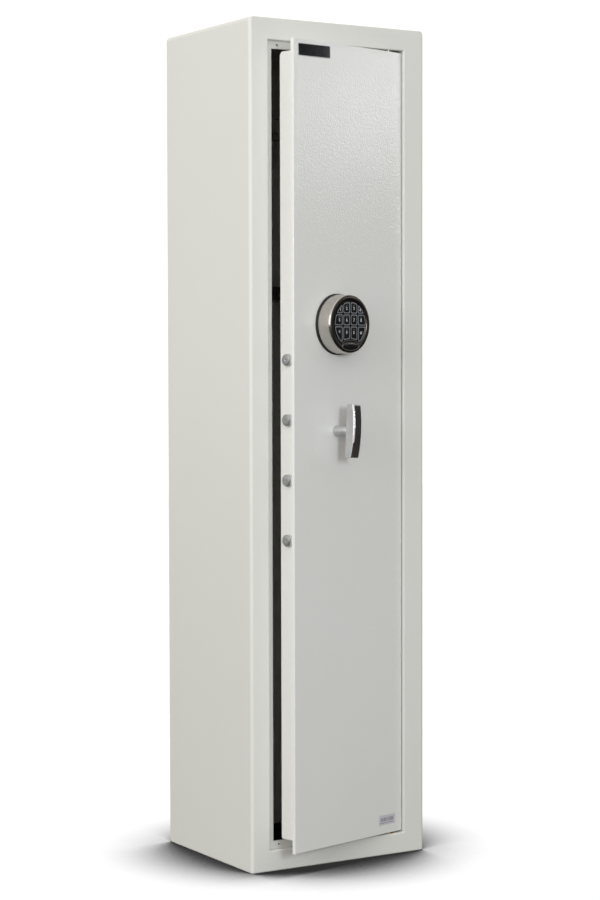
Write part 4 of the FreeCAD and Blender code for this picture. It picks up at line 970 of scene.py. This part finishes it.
def build_camera():
    yaw, pitch, roll = (math.radians(angle) for angle in CAMERA_TURN)
    forward = Vector((math.sin(yaw) * math.cos(pitch), math.cos(yaw) * math.cos(pitch),
                      math.sin(pitch)))
    level = Vector((math.cos(yaw), -math.sin(yaw), 0))
    upright = level.cross(forward)
    right = level * math.cos(roll) + upright * math.sin(roll)
    up = upright * math.cos(roll) - level * math.sin(roll)
    camera = new_object("camera", bpy.data.cameras.new("camera"))
    turn = Matrix((right, up, -forward)).transposed().to_4x4()
    camera.matrix_world = Matrix.Translation(CAMERA_PLACE) @ turn
    camera.data.lens, camera.data.sensor_width = CAMERA_LENS, CAMERA_SENSOR
    camera.data.sensor_fit = "AUTO"
    bpy.context.scene.camera = camera


def softbox(name, place, target, size, power, colour=(1, 1, 1)):
    light = bpy.data.lights.new(name, "AREA")
    light.shape, light.size, light.size_y = "RECTANGLE", *size
    light.energy, light.color = power, colour
    box = new_object(name, light)
    box.location = place
    aim = Vector(target) - Vector(place)
    box.rotation_euler = aim.to_track_quat("-Z", "Y").to_euler()


def build_stage():
    """White room: bright to the left and above, dark to the right of the camera."""
    world = bpy.data.worlds.new("studio")
    bpy.context.scene.world = world
    world.use_nodes = True
    tree = world.node_tree
    back = tree.nodes["Background"]
    direction = tree.nodes.new("ShaderNodeTexCoord").outputs["Generated"]
    toward = add(tree, "ShaderNodeVectorMath", [(0, direction), (1, BRIGHT_SIDE)],
                 operation="DOT_PRODUCT")
    room = mapped(tree, toward.outputs["Value"], (-1.0, 1.0), ROOM_LEVELS)
    aside = add(tree, "ShaderNodeVectorMath", [(0, direction), (1, DARK_SIDE)],
                operation="DOT_PRODUCT")
    dark = mapped(tree, aside.outputs["Value"], DARK_EDGE, DARK_LEVELS,
                  interpolation_type="SMOOTHSTEP")
    level = add(tree, "ShaderNodeMath", [(0, room), (1, dark)], operation="MULTIPLY")
    seen = add(tree, "ShaderNodeLightPath")
    choice = add(tree, "ShaderNodeMix", [(0, seen.outputs["Is Camera Ray"]),
                                         (2, level.outputs[0]), (3, BACKDROP_LEVEL)],
                 data_type="FLOAT")
    tree.links.new(choice.outputs[0], back.inputs["Strength"])
    back.inputs["Color"].default_value = WORLD_TINT

    grid = bmesh.new()
    bmesh.ops.create_grid(grid, x_segments=1, y_segments=1, size=FLOOR_HALF)
    mesh = bpy.data.meshes.new("floor")
    grid.to_mesh(mesh)
    grid.free()
    floor = new_object("floor", mesh)
    pale = bpy.data.materials.new("pale_floor")
    pale.use_nodes = True
    tree = pale.node_tree
    # To the camera the floor glows, darkened near the safe's base by occlusion: a painted shadow.
    # Rays that light things see it grey, and reflections see it darker still.
    shade = add(tree, "ShaderNodeAmbientOcclusion", [("Distance", SHADOW_REACH)], samples=24)
    faded = mapped(tree, shade.outputs["AO"], SHADOW_EDGE, SHADOW_LEVELS,
                   interpolation_type="SMOOTHSTEP")
    glow_with_painted_shadow = add(tree, "ShaderNodeEmission", [("Strength", faded)])
    seen = add(tree, "ShaderNodeLightPath")
    tone = add(tree, "ShaderNodeMix", [(0, seen.outputs["Is Glossy Ray"]), (6, FLOOR_TONE),
                                       (7, FLOOR_MIRRORED)], data_type="RGBA")
    dim = add(tree, "ShaderNodeBsdfDiffuse", [("Color", tone.outputs[2])])
    choice = add(tree, "ShaderNodeMixShader", [(0, seen.outputs["Is Camera Ray"]),
                                               (1, dim.outputs[0]), (2, glow_with_painted_shadow.outputs[0])])
    tree.links.new(choice.outputs[0], tree.nodes["Material Output"].inputs["Surface"])
    mesh.materials.append(pale)

    softbox("front_softbox", (-0.95, -5.1, 1.65), DOOR_MIDDLE, (0.9, 1.1), 70, (0.9, 0.965, 1))
    softbox("left_softbox", (-3.8, -1.7, 2.1), SHELL_MIDDLE, (2.0, 2.4), 46, (0.95, 0.985, 1))
    softbox("right_softbox", (2.77, -1.55, 1.72), DOOR_TOP, (0.3, 0.3), 4)
    view = bpy.context.scene.view_settings
    view.view_transform = "Standard"
    view.look = "None"


dress_cad_nodes()
build_keypad()
build_keys()
build_handle()
build_badge()
build_label()
build_screws()
build_bolts()
build_mat_ribs()
build_camera()
build_stage()
